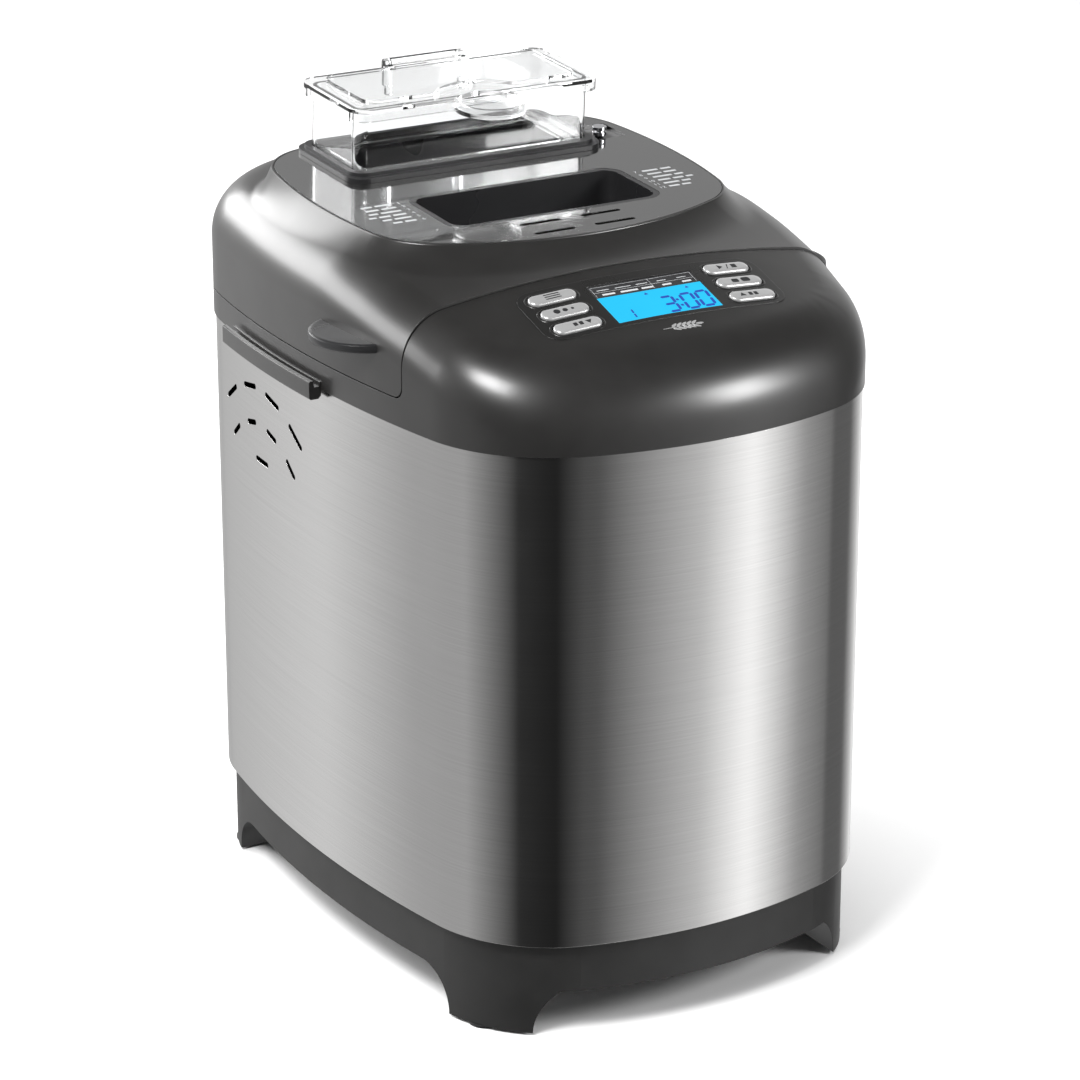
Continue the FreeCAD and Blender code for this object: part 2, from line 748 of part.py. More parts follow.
def make_dispenser_flap():
    """Hinged floor of the chute with its own stub axles."""
    leaf = rounded_box(-57.6, 65.6, FLAP_Z - 0.7, 57.6, FLAP_Y + 1.5, FLAP_Z + 0.7, 0.6)
    axle = Part.makeCylinder(1.5, 119.6, Vector(-59.8, FLAP_Y, FLAP_Z), X_AXIS)
    return leaf.fuse(axle)


def make_dispenser_box():
    """Clear open-bottomed box with two hinge ears behind it."""
    half, wall = size("box_half_width"), size("box_wall")
    front, back, high = size("box_front"), size("box_back"), size("box_height")
    shape = rounded_box(-half, front, 0.3, half, back, high, 6.0)
    shape = shape.cut(rounded_box(-half + wall, front + wall, 2.3, half - wall, back - wall, 60, 4.0))
    shape = shape.cut(rounded_box(-58, 64, -1, 58, 100, 5, 4.0))
    y, z = size("cap_hinge_y"), size("cap_hinge_z")
    for x in (-22.4, 19.6):
        ear = solid_box(x, back - 1.5, 20, x + 2.8, y, z)
        ear = ear.fuse(solid_box(x, y - 1, 24, x + 2.8, y + 2.5, z))
        ear = ear.fuse(Part.makeCylinder(2.5, 2.8, Vector(x, y, z), X_AXIS))
        shape = shape.fuse(ear.cut(Part.makeCylinder(1.5, 2.8, Vector(x, y, z), X_AXIS)))
    return tilted(shape)


def make_dispenser_lid():
    """Clear cap: rim, raised panel, thumb ring, hinge barrel with stub axles."""
    half, front, back = size("cap_half_width"), size("cap_front"), size("cap_back")
    top, y, z = size("cap_top"), size("cap_hinge_y"), size("cap_hinge_z")
    rim_low, rim_wall, raised_high = 30.2, 2.8, 2.0
    # the underside of the plate clears the box, and the rim is open at the back
    plate_low = size("box_height") + 0.5
    box_room = rounded_box(-half + rim_wall, front + rim_wall, rim_low - 1, half - rim_wall, 130,
                           plate_low, 6.0)
    box_room = box_room.fuse(solid_box(-half - 1, 103.0, rim_low - 1, half + 1, 130, plate_low))
    shape = rounded_box(-half, front, rim_low, half, back, top, 9.0)
    raised = rounded_box(-60, 58, top, 60, 105, top + raised_high, 6.0)
    ring_y, ring_outer, ring_inner = 41.0, 17.7, 15.7
    raised = raised.cut(Part.makeCylinder(28.0, raised_high, Vector(0, ring_y, top)))
    shape = shape.fuse(raised)
    thumb = Part.makeCylinder(ring_outer, 5.0, Vector(0, ring_y, top - 5.0))
    well = Part.makeCylinder(ring_inner, 5.0, Vector(0, ring_y, top - 3.2))
    behind = solid_box(-half, size("box_front") - 1, 0, half, 200, plate_low)
    shape = shape.cut(box_room).fuse(thumb).cut(well).cut(behind.common(box_room))
    for x in (-22.9, 19.1):
        shape = shape.cut(solid_box(x, 103.0, 20, x + 3.8, 130, 60))
    barrel = Part.makeCylinder(2.6, 38.2, Vector(-19.1, y, z), X_AXIS)
    web = solid_box(-19.1, y - 2.4, top - 1, 19.1, back, z)
    axle = Part.makeCylinder(1.45, 44.8, Vector(-22.4, y, z), X_AXIS)
    return tilted(shape.fuse(barrel).fuse(web).fuse(axle))


def make_carry_handles():
    """Two grip bars that follow the sides just under the rail."""
    ring_form = body_prism(-6.5, 290.7, 300.0).cut(body_prism(0.0, 290.0, 301.0))
    left = ring_form.common(solid_box(-200, -18.5, 280, 0, 87, 310))
    right = ring_form.common(solid_box(0, -18.5, 280, 200, 87, 310))
    return Part.makeCompound([left.Solids[0], right.Solids[0]])


def make_panel_overlay():
    """Thin glossy island round the display and keys, on the crowned panel."""
    zone = on_panel(rounded_box(-66, -13.5, -12, 66, 26.5, 6, 9.0))
    shape = crown_solid(0.3).cut(crown_solid(0.0)).common(zone)
    x0, y0, x1, y1 = DISPLAY
    shape = shape.cut(on_panel(solid_box(x0 - 0.2, y0 - 0.2, -12, x1 + 0.2, y1 + 0.2, 6)))
    for _, spot in button_places():
        hole = capsule(size("button_length"), size("button_width"), -12, 6, 0.35)
        shape = shape.cut(hole.transformed((panel_frame * spot).toMatrix()))
    return shape


def make_baking_chamber():
    """Folded metal oven box, open at the top, with a hanging flange."""
    half, depth, y = size("oven_half_width"), size("oven_half_depth"), size("oven_y")
    metal, corner, low = size("sheet"), size("oven_corner"), size("oven_floor")
    high = size("seam_height") - size("wall")
    shape = rounded_box(-half - metal, y - depth - metal, low, half + metal, y + depth + metal,
                        high, corner + metal)
    flange = rounded_box(-half - 6, y - depth - 6, high - metal, half + 6, y + depth + 6, high,
                         corner + 6)
    inside = rounded_box(-half, y - depth, low + metal, half, y + depth, high + 1, corner)
    shape = shape.fuse(flange).cut(inside)
    shape = shape.cut(Part.makeCylinder(7.0, 10, Vector(0, y, low - 2)))
    for x in (-14.0, 14.0):
        shape = shape.cut(Part.makeCylinder(4.2, 20, Vector(x, y - depth - 10, ELEMENT_Z), Y_AXIS))
    return shape.cut(Part.makeCylinder(3.2, 20, Vector(-40, y - depth - 10, SENSOR_Z), Y_AXIS))


def make_heating_element():
    """Tubular heater that circles the pan and leaves through the front wall."""
    y, x = size("oven_y"), 77.0
    front, back = y - 84.0, y + 84.0
    terminal = y - size("oven_half_depth") - 14.0
    points = [Vector(*p, ELEMENT_Z) for p in (
        (-14, terminal), (-14, front), (-x, front), (-x, back), (x, back), (x, front), (14, front),
        (14, terminal))]
    return swept("HeatingElement", points, [8, 22, 22, 22, 22, 8], ELEMENT_RADIUS)


def make_bread_pan():
    """Tapered pan with a turned-out rim and two bail ears."""
    y, low, rim = size("oven_y"), size("pan_floor"), size("pan_rim")
    half, depth, wall = size("pan_half_width"), size("pan_half_depth"), size("pan_wall")

    def shell(extra, z0, z1):
        def wire(shrink, z):
            box = rounded_box(-half + shrink, y - depth + shrink, z, half - shrink,
                              y + depth - shrink, z + 1, 26.0 - shrink / 2)
            base = min(box.Faces, key=lambda f: f.CenterOfMass.z)
            return base.OuterWire
        taper = 7.0
        return Part.makeLoft([wire(taper + extra, z0), wire(extra, z1)], True, True)

    shape = shell(0, low, rim).cut(shell(wall, low + wall, rim + 0.01))
    lip = rounded_box(-half - 3, y - depth - 3, rim - 2, half + 3, y + depth + 3, rim, 29.0)
    lip = lip.cut(rounded_box(-half + wall, y - depth + wall, rim - 3, half - wall, y + depth - wall,
                              rim + 1, 25.0))
    shape = shape.fuse(lip)
    bail_z = size("bail_z")
    for sign in (-1, 1):
        x0, x1 = sorted((sign * 69.4, sign * 74.0))
        ear = solid_box(x0, y - 8, bail_z - 16, x1, y + 8, bail_z + 6)
        shape = shape.fuse(ear)
        shape = shape.cut(Part.makeCylinder(2.6, 6, Vector(x0 - 0.5, y, bail_z), X_AXIS))
    return shape.cut(Part.makeCylinder(9.0, 10, Vector(0, y, low - 2)))


def make_pan_handle():
    """Wire bail folded forwards over the rim, its ends turned into the ears."""
    y, z, reach, x = size("oven_y"), size("bail_z"), size("bail_reach"), 77.2
    points = [Vector(-71, y, z), Vector(-x, y, z), Vector(-x, y - reach, z), Vector(x, y - reach, z),
              Vector(x, y, z), Vector(71, y, z)]
    return swept("PanHandle", points, [3, 9, 9, 3], size("bail_wire") / 2)


def make_paddle():
    """Kneading paddle: hub on the shaft and one sloping blade."""
    y, low = size("oven_y"), size("pan_floor") + size("pan_wall") + 7.2
    hub = Part.makeCone(10.0, 7.5, 22, Vector(0, y, low))
    outline = [Vector(x, 0, z) for x, z in BLADE + BLADE[:1]]
    blade = Part.Face(Part.makePolygon(outline)).extrude(Vector(0, 4.0, 0)).translated(Vector(0, y - 2.0, low))
    blade = blade.makeFillet(1.2, blade.Edges)
    shape = hub.fuse(blade)
    return shape.cut(Part.makeCylinder(size("shaft_radius"), 40, Vector(0, y, low - 5)))


def make_drive_belt():
    """Belt round both pulleys: two arcs and two tangent runs."""
    clear, thick = 0.3, 2.0
    big = Vector(0, size("oven_y"), size("pulley_z") + 1)
    small = Vector(size("motor_x"), size("motor_y"), size("pulley_z") + 1)
    width = size("pulley_width") - 2

    def outline(grow):
        r0 = size("large_pulley_radius") + grow
        r1 = size("small_pulley_radius") + grow
        span = small - big
        lean = math.acos((r0 - r1) / span.Length)
        base = math.atan2(span.y, span.x)
        def on(centre, radius, angle):
            return centre + Vector(math.cos(angle), math.sin(angle), 0) * radius
        a, b = on(big, r0, base + lean), on(small, r1, base + lean)
        c, d = on(small, r1, base - lean), on(big, r0, base - lean)
        return Part.Face(Part.Wire([
            Part.LineSegment(a, b).toShape(),
            Part.Arc(b, on(small, r1, base), c).toShape(),
            Part.LineSegment(c, d).toShape(),
            Part.Arc(d, on(big, r0, base + math.pi), a).toShape()]))

    loop = outline(clear + thick).cut(outline(clear))
    return loop.extrude(Vector(0, 0, width))


FREEFORM = {
    "base_housing": make_base_housing,
    "steel_wrap": make_steel_wrap,
    "upper_housing": make_upper_housing,
    "lid_shell": make_lid_shell,
    "lid_top_panel": make_lid_top_panel,
    "window_frame": make_window_frame,
    "lid_liner": make_lid_liner,
    "lid_seal": make_lid_seal,
    "dispenser_gasket": make_dispenser_gasket,
    "dispenser_chute": make_dispenser_chute,
    "dispenser_flap": make_dispenser_flap,
    "dispenser_box": make_dispenser_box,
    "dispenser_lid": make_dispenser_lid,
    "carry_handles": make_carry_handles,
    "panel_overlay": make_panel_overlay,
    "baking_chamber": make_baking_chamber,
    "bread_pan": make_bread_pan,
    "kneading_paddle": make_paddle,
    "drive_belt": make_drive_belt,
}
for label, maker in FREEFORM.items():
    keep(label, fixed("".join(w.capitalize() for w in label.split("_")), maker()))
keep("heating_element", make_heating_element())
keep("pan_handle", make_pan_handle())

# ---------------------------------------------------------------- base and chassis
keep("foot_pads", fuse("FootPads", *[
    rod("FootPad%d" % i, "9", "pad_height", (x, y, "0")) for i, (x, y) in enumerate(FOOT_CENTRES)]))
keep("bottom_cover", cut(
    "BottomCoverDrilled",
    plate("BottomCover", "150", "256", "2", "14", at=("0", "-26", "arch_top - 2")),
    *[rod("CoverHole%d" % i, "1.6", "6", (x, y, "arch_top - 4")) for i, (x, y) in enumerate(COVER_SCREWS)]))
screws = []
for i, (x, y) in enumerate(COVER_SCREWS):
    head = rod("ScrewHead%d" % i, "3.2", "1.6", (x, y, "arch_top - 3.6"))
    shank = rod("ScrewShank%d" % i, "1.5", "16", (x, y, "arch_top - 2"))
    screws.append(fuse("Screw%d" % i, head, shank))
keep("base_screws", fuse("BaseScrews", *screws))

chassis_blank = plate("ChassisBlank", "190", "286", "chassis_thick", "50", at=("0", "-5", "chassis_z"))
keep("chassis_plate", cut(
    "ChassisPlate", chassis_blank,
    rod("ChassisBushHole", "9", "10", ("0", "oven_y", "chassis_z - 4")),
    rod("ChassisMotorHole", "7", "10", ("motor_x", "motor_y", "chassis_z - 4"))))
stand_height = "oven_floor - chassis_z - chassis_thick"
keep("oven_standoffs", fuse("OvenStandoffs", *[
    ring("OvenStandoff%d" % i, "6", "2", stand_height, at=(x, y, "chassis_z + chassis_thick"))
    for i, (x, y) in enumerate([(-60, -30), (60, -30), (-60, 90), (60, 90)])]))
keep("cord_gland", cut(
    "CordGland",
    fuse("CordGlandBody", rod("GlandBarrel", "6", "16", (GLAND_X, "158", GLAND_Z), "y"),
         rod("GlandHead", "9", "2.8", (GLAND_X, "173.2", GLAND_Z), "y")),
    rod("GlandBore", "3.5", "30", (GLAND_X, "150", GLAND_Z), "y")))

# ---------------------------------------------------------------- oven fittings
keep("pan_socket", ring("PanSocket", "40", "36.5", "11", at=("0", "oven_y", "oven_floor + sheet")))
clips = [block("ElementClip%d" % i, "7.4", "2", "9", (x, y, ELEMENT_Z - 4.5))
         for i, (x, y) in enumerate([(-84.1, 0), (84.1, 0), (-84.1, 60), (84.1, 60)])]
keep("element_clips", fuse("ElementClips", *clips))
keep("temperature_sensor", fuse(
    "TemperatureSensor", rod("SensorProbe", "3", "18", ("-40", "-76", SENSOR_Z), "y"),
    block("SensorFlange", "14", "1.6", "10", ("-40", "oven_y - oven_half_depth - sheet - 0.8", SENSOR_Z - 5))))
keep("thermal_fuse", fuse(
    "ThermalFuse", rod("FuseBody", "2.5", "14", ("33", "-67.3", SENSOR_Z), "x"),
    block("FuseStrap", "3", "1", "16", ("40", "-69.9", SENSOR_Z - 8))))
keep("heat_shield", plate("HeatShield", "168", "0.8", "232", "0.3", at=("0", "-79", "chassis_z + 6")))

# ---------------------------------------------------------------- drive train
keep("drive_bush", turned("DriveBush", [
    ("shaft_radius + running_gap", "0"), ("9", "0"), ("9", "6"), ("13", "6"), ("13", "8"),
    ("8", "8"), ("8", "14"), ("shaft_radius + running_gap", "14")], at=("0", "oven_y", "chassis_z - 4")))
keep("drive_shaft", ring("DriveShaft", "shaft_radius", None, "46", at=("0", "oven_y", "pulley_z - 1")))
keep("large_pulley", turned("LargePulley", [
    ("shaft_radius", "0"), ("large_pulley_radius + 2", "0"), ("large_pulley_radius", "1"),
    ("large_pulley_radius", "pulley_width - 1"), ("large_pulley_radius + 2", "pulley_width"),
    ("large_pulley_radius - 6", "pulley_width"), ("large_pulley_radius - 6", "3"), ("12", "3"),
    ("12", "pulley_width"), ("shaft_radius", "pulley_width")], at=("0", "oven_y", "pulley_z")))
lower_disc = ring("LowerCouplerDisc", "11", "shaft_radius", "4", at=("0", "oven_y", "oven_floor + 2.2"))
lower_dogs = [block("LowerDog%d" % i, "4", "5", "4", ("0", "oven_y + (%d)" % d, "oven_floor + 6.2"))
              for i, d in enumerate((-8, 8))]
keep("lower_coupler", fuse("LowerCoupler", lower_disc, *lower_dogs))

keep("motor_body", fuse(
    "MotorBody",
    cut("MotorCan", rod("MotorCanBlank", "motor_radius", "motor_height",
                        ("motor_x", "motor_y", "chassis_z + chassis_thick")),
        rod("MotorCanBore", "shaft_radius + running_gap", "motor_height",
            ("motor_x", "motor_y", "chassis_z + chassis_thick"))),
    ring("MotorCap", "14", None, "8", at=("motor_x", "motor_y", "chassis_z + chassis_thick + motor_height"))))
keep("motor_shaft", ring("MotorShaft", "shaft_radius", None, "60", at=("motor_x", "motor_y", "pulley_z - 1")))
keep("small_pulley", turned("SmallPulley", [
    ("shaft_radius", "0"), ("small_pulley_radius + 2", "0"), ("small_pulley_radius", "1"),
    ("small_pulley_radius", "pulley_width - 1"), ("small_pulley_radius + 2", "pulley_width"),
    ("shaft_radius", "pulley_width")], at=("motor_x", "motor_y", "pulley_z")))
keep("motor_capacitor", rod("MotorCapacitor", "12", "50", ("-60", "-140", "chassis_z + chassis_thick")))

# ---------------------------------------------------------------- pan fittings
keep("pan_base", ring("PanBase", "36", "30", "14", at=("0", "oven_y", "pan_floor - 14")))
keep("pan_bearing", turned("PanBearing", [
    ("shaft_radius + running_gap", "0"), ("12", "0"), ("12", "2.6"), ("9", "2.6"), ("9", "8"),
    ("shaft_radius + running_gap", "8")], at=("0", "oven_y", "pan_floor - 2.6")))
keep("paddle_shaft", ring("PaddleShaft", "shaft_radius", None, "32", at=("0", "oven_y", "pan_floor - 7")))
upper_disc = ring("UpperCouplerDisc", "11", "shaft_radius", "3.6", at=("0", "oven_y", "pan_floor - 7"))
upper_dogs = [block("UpperDog%d" % i, "5", "4", "3.9", ("%d" % d, "oven_y", "pan_floor - 10.9"))
              for i, d in enumerate((-8, 8))]
keep("upper_coupler", fuse("UpperCoupler", upper_disc, *upper_dogs))

# ---------------------------------------------------------------- electronics
board_y = "-96"
keep("power_board", fuse(
    "PowerBoard", block("PowerBoardSheet", "84", "1.6", "110", ("-58", board_y, "62")),
    block("PowerTransformer", "30", "24", "26", ("-74", "-108.8", "66")),
    block("PowerRelay", "18", "15", "20", ("-36", "-104.3", "70")),
    block("PowerRelaySpare", "18", "15", "20", ("-36", "-104.3", "100")),
    block("PowerTerminals", "40", "12", "12", ("-60", "-102.8", "148")),
    rod("PowerCapacitor", "8", "20", ("-76", "-116.8", "118"), "y")))


def in_panel_frame(item, u, v, w):
    """Place an object in the control panel's own frame."""
    item.Placement = panel_frame * Placement(Vector(u, v, w), Rotation())
    return item


def panel_block(name, length, width, height, u, v, w):
    """Part::Box centred on (u, v), its underside at w, in the panel's frame."""
    item = document.addObject("Part::Box", name)
    bind(item, Length=length, Width=width, Height=height)
    return in_panel_frame(item, u - number(length) / 2, v - number(width) / 2, w)


keep("control_board", panel_block("ControlBoard", "130", "43", "1.6", 0, 2, BOARD_W))
switch_low = BOARD_W + 1.6
keep("key_switches", fuse("KeySwitches", *[
    panel_block("KeySwitch%d" % i, "7", "7", "4.6", spot.Base.x, spot.Base.y, switch_low)
    for i, (_, spot) in enumerate(button_places())]))
keep("display_module", panel_block("DisplayModule", "62", "36", "8.8", 0, 4.85, switch_low))
keep("display_window", panel_block("DisplayWindow", "57", "31.3", "2.4", 0, 4.85, -2.9))

for label, spot in button_places():
    cap = capsule(size("button_length"), size("button_width"), 1.6 - size("button_height"), 1.6)
    flange = capsule(size("button_length"), size("button_width"), 1.6 - size("button_height"), -3.9, 1.2)
    key = fixed("Key" + label.title().replace("_", ""), cap.fuse(flange).removeSplitter())
    key.Placement = panel_frame * spot
    keep(label, key)

# ---------------------------------------------------------------- lid fittings
keep("window_glass", plate(
    "WindowGlass", "window_half_width*2 - 0.4", "window_back - window_front - 0.4", "3", "6.6",
    at=("0", "(window_back + window_front)/2", LINER_ROOF)))
keep("hinge_pins", fuse("HingePins", *[
    rod("HingePin%d" % i, "hinge_pin", "26", (x, "hinge_y", "hinge_z"), "x")
    for i, x in enumerate(("-50", "24"))]))
keep("flap_solenoid", fuse(
    "FlapSolenoid", block("SolenoidFrame", "20", "22", "18", ("74", "82", "338")),
    rod("SolenoidPlunger", "2.5", "4", ("60", "82", "347"), "x")))
catch = fuse("CatchParts", ring("CatchStem", "2.4", None, "9", at=("0", "0", "-4")),
             ring("CatchLowerCollar", "3.6", None, "1.8", at=("0", "0", "1")),
             ring("CatchUpperCollar", "3.6", None, "1.8", at=("0", "0", "3.6")))
catch.Placement = top_frame * Placement(Vector(*CATCH_SPOT, 0), Rotation())
keep("dispenser_catch", catch)

# ---------------------------------------------------------------- checks and export
document.recompute()
faults = [o.Name for o in document.Objects if "Invalid" in o.State or "Error" in o.State]
if faults:
    raise RuntimeError("failed objects: " + ", ".join(faults))
for label, item in sub_parts.items():
    if item.Shape.isNull() or not item.Shape.isValid() or not item.Shape.Solids:
        raise RuntimeError("bad shape: " + label)

os.makedirs("parts", exist_ok=True)
for label, item in sub_parts.items():
    item.Shape.exportStep("parts/%s.step" % label)
    box = item.Shape.optimalBoundingBox()
    print("%-20s %d solids %9.0f mm3  x %7.1f %7.1f  y %7.1f %7.1f  z %7.1f %7.1f" % (
        label, len(item.Shape.Solids), item.Shape.Volume,
        box.XMin, box.XMax, box.YMin, box.YMax, box.ZMin, box.ZMax))
print(len(sub_parts), "sub-parts")
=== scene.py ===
"""Looks of an upright bread machine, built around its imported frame.

Lengths are metres in the frame's own axes: the controls face -Y and +Z is up.
"""

import json
import logging
import math
from dataclasses import dataclass
from enum import Enum
from typing import Callable, Iterable, Sequence

import bmesh
import bpy
import numpy as np
from mathutils import Matrix, Vector


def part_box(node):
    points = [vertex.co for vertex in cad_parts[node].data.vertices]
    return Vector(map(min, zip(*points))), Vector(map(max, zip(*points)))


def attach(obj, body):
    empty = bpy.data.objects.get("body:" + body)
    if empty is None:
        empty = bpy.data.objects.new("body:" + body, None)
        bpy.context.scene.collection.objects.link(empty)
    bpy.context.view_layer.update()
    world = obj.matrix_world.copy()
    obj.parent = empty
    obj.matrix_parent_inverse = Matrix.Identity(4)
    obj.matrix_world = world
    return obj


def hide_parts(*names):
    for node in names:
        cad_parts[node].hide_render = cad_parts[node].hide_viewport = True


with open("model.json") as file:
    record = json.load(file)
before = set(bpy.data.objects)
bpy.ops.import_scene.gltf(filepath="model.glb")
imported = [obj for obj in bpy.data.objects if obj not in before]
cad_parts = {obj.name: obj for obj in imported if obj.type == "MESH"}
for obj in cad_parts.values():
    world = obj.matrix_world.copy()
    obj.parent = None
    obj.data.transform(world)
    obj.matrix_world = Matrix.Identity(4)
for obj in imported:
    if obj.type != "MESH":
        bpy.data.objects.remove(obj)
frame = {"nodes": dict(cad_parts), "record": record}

log = logging.getLogger("bread_machine")
MM = 0.001
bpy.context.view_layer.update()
Mesh = bpy.types.Mesh
Socket = bpy.types.NodeSocket
Point = tuple[float, float]
Place = tuple[float, float, float]
Colour = tuple[float, float, float]


# ---------------------------------------------------------------- finishes
class Grain(Enum):
    """Surface patterns that a finish can carry."""

    SPARK = "fine spark-eroded moulding texture"
    POLISH = "polished, with faint waviness"
    BRUSHED = "fine horizontal brush lines"
    SHEET = "rolled or plated sheet with soft mottling"
    SPANGLE = "aluminised crystals"
    FLECKED = "coating with small flecks"
    BOARD = "circuit board lacquer over copper tracks"
    WOUND = "machined rings"


class Graph:
    """Node tree of one material, with short calls for the nodes used here."""

    def __init__(self, name: str) -> None:
        """Start an empty material with its output and its shader."""
        self.material = bpy.data.materials.new(name)
        self.material.use_nodes = True
        self.tree = self.material.node_tree
        self.shader = self.tree.nodes["Principled BSDF"]
        self.place = self.add("ShaderNodeTexCoord").outputs["Object"]

    def add(self, kind: str, **values: object) -> bpy.types.Node:
        """Add a node, setting its properties and sockets by name.

        Args:
            kind: the node's Blender type.
            values: property or input socket names, underscores for spaces.

        Returns:
            The new node.
        """
        node = self.tree.nodes.new(kind)
        for name, value in values.items():
            socket = node.inputs.get(name.replace("_", " "))
            if hasattr(node, name):
                setattr(node, name, value)
            elif isinstance(value, Socket):
                self.tree.links.new(value, socket)
            else:
                socket.default_value = value
        return node

    def noise(self, scale: float, stretch: Sequence[float] = (1, 1, 1), detail: float = 3) -> Socket:
        """Make a noise texture.

        Args:
            scale: ripples in a metre.
            stretch: factors on the scale along X, Y and Z.
            detail: octaves of finer noise.

        Returns:
            The noise's value, about 0.25 to 0.75.
        """
        mapped = self.add("ShaderNodeMapping", Vector=self.place, Scale=stretch)
        return self.add("ShaderNodeTexNoise", Vector=mapped.outputs["Vector"], Scale=scale,
                        Detail=detail).outputs["Fac"]

    def cells(self, scale: float, feature: str = "F1") -> bpy.types.Node:
        """Return a Voronoi node for crystals, flecks and tracks."""
        return self.add("ShaderNodeTexVoronoi", feature=feature, Vector=self.place, Scale=scale)

    def remap(self, value: Socket, low: float, high: float,
              start: float = 0.25, end: float = 0.75) -> Socket:
        """Spread a value over a new range.

        Args:
            value: the socket to spread.
            low: result at start.
            high: result at end.
            start: value that gives low.
            end: value that gives high.

        Returns:
            The spread value.
        """
        node = self.add("ShaderNodeMapRange", Value=value)
        for name, amount in (("From Min", start), ("From Max", end), ("To Min", low), ("To Max", high)):
            node.inputs[name].default_value = amount
        return node.outputs["Result"]

    def mix(self, factor: Socket, first: Colour, second: Colour) -> Socket:
        """Blend two colours.

        Args:
            factor: 0 for the first colour, 1 for the second.
            first: one colour.
            second: the other colour.

        Returns:
            The blended colour.
        """
        node = self.add("ShaderNodeMix", data_type="RGBA")
        self.tree.links.new(factor, node.inputs["Factor"])
        node.inputs["A"].default_value = (*first, 1)
        node.inputs["B"].default_value = (*second, 1)
        return node.outputs["Result"]


@dataclass(frozen=True)
class Finish:
    """One material: its colours, shine and surface pattern.

    The colour wanders between colour and second, relief is the height of the grain, edge is how far
    sharp edges are softened, and turned is the stretch of highlights round a turned or wrapped piece.
    """

    name: str
    colour: Colour
    second: Colour
    rough: float
    grain: Grain = Grain.SPARK
    metal: float = 0.0
    coat: float = 0.0
    coat_rough: float = 0.08
    clear: float = 0.0
    index: float = 1.5
    glow: float = 0.0
    relief: float = 0.02 * MM
    edge: float = 0.35 * MM
    turned: float = 0.0

    def pattern(self, graph: Graph) -> tuple[Socket, Socket, float]:
        """Make the nodes of the grain.

        Args:
            graph: the material's nodes.

        Returns:
            The colour factor, the height and the spread of the roughness.
        """
        if self.grain is Grain.SPARK:
            return graph.noise(60), graph.noise(2600, detail=2), 0.10
        if self.grain is Grain.POLISH:
            return graph.noise(18), graph.noise(35, detail=1), 0.25
        if self.grain is Grain.BRUSHED:
            lines = graph.noise(40, (0.25, 0.25, 90), 4)
            return lines, graph.noise(60, (0.3, 0.3, 110), 3), 0.12
        if self.grain is Grain.SHEET:
            return graph.noise(45, detail=5), graph.noise(220), 0.22
        if self.grain is Grain.SPANGLE:
            cells = graph.cells(120)
            grey = graph.add("ShaderNodeSeparateColor", Color=cells.outputs["Color"]).outputs["Red"]
            return grey, cells.outputs["Distance"], 0.3
        if self.grain is Grain.FLECKED:
            flecks = graph.remap(graph.cells(900).outputs["Distance"], 1.0, 0.0, 0.08, 0.16)
            return flecks, graph.noise(1400), 0.15
        if self.grain is Grain.BOARD:
            edges = graph.cells(160, "DISTANCE_TO_EDGE").outputs["Distance"]
            tracks = graph.remap(edges, 1, 0, 0.04, 0.06)
            return tracks, tracks, 0.2
        rings = graph.add("ShaderNodeTexWave", wave_type="RINGS", rings_direction="Z", Vector=graph.place,
                          Scale=300.0, Distortion=0.4).outputs["Fac"]
        return graph.noise(80), rings, 0.2

    def material(self) -> bpy.types.Material:
        """Build the material once and return it."""
        if self.name in BUILT:
            return BUILT[self.name]
        graph = Graph("finish_" + self.name)
        BUILT[self.name] = graph.material
        shader, links = graph.shader.inputs, graph.tree.links
        factor, height, spread = self.pattern(graph)
        links.new(graph.mix(graph.remap(factor, 0, 1), self.colour, self.second), shader["Base Color"])
        links.new(graph.remap(graph.noise(24), self.rough * (1 - spread), self.rough * (1 + spread)),
                  shader["Roughness"])
        if not self.clear:
            soft = graph.add("ShaderNodeBevel", samples=6, Radius=self.edge)
            bump = graph.add("ShaderNodeBump", Height=height, Distance=self.relief, Strength=0.6,
                             Normal=soft.outputs["Normal"])
            links.new(bump.outputs["Normal"], shader["Normal"])
        shader["Metallic"].default_value = self.metal
        shader["Coat Weight"].default_value = self.coat
        shader["Coat Roughness"].default_value = self.coat_rough
        shader["Transmission Weight"].default_value = self.clear
        shader["IOR"].default_value = self.index
        if self.turned:
            around = graph.add("ShaderNodeTangent", direction_type="RADIAL", axis="Z")
            links.new(around.outputs["Tangent"], shader["Tangent"])
            shader["Anisotropic"].default_value = self.turned
            shader["Anisotropic Rotation"].default_value = 0.25
        if self.glow:
            lit = graph.mix(graph.remap(graph.noise(30), 0, 1), self.colour, self.second)
            links.new(lit, shader["Emission Color"])
            links.remove(shader["Base Color"].links[0])
            shader["Base Color"].default_value = UNLIT
            shader["Emission Strength"].default_value = self.glow
        return graph.material


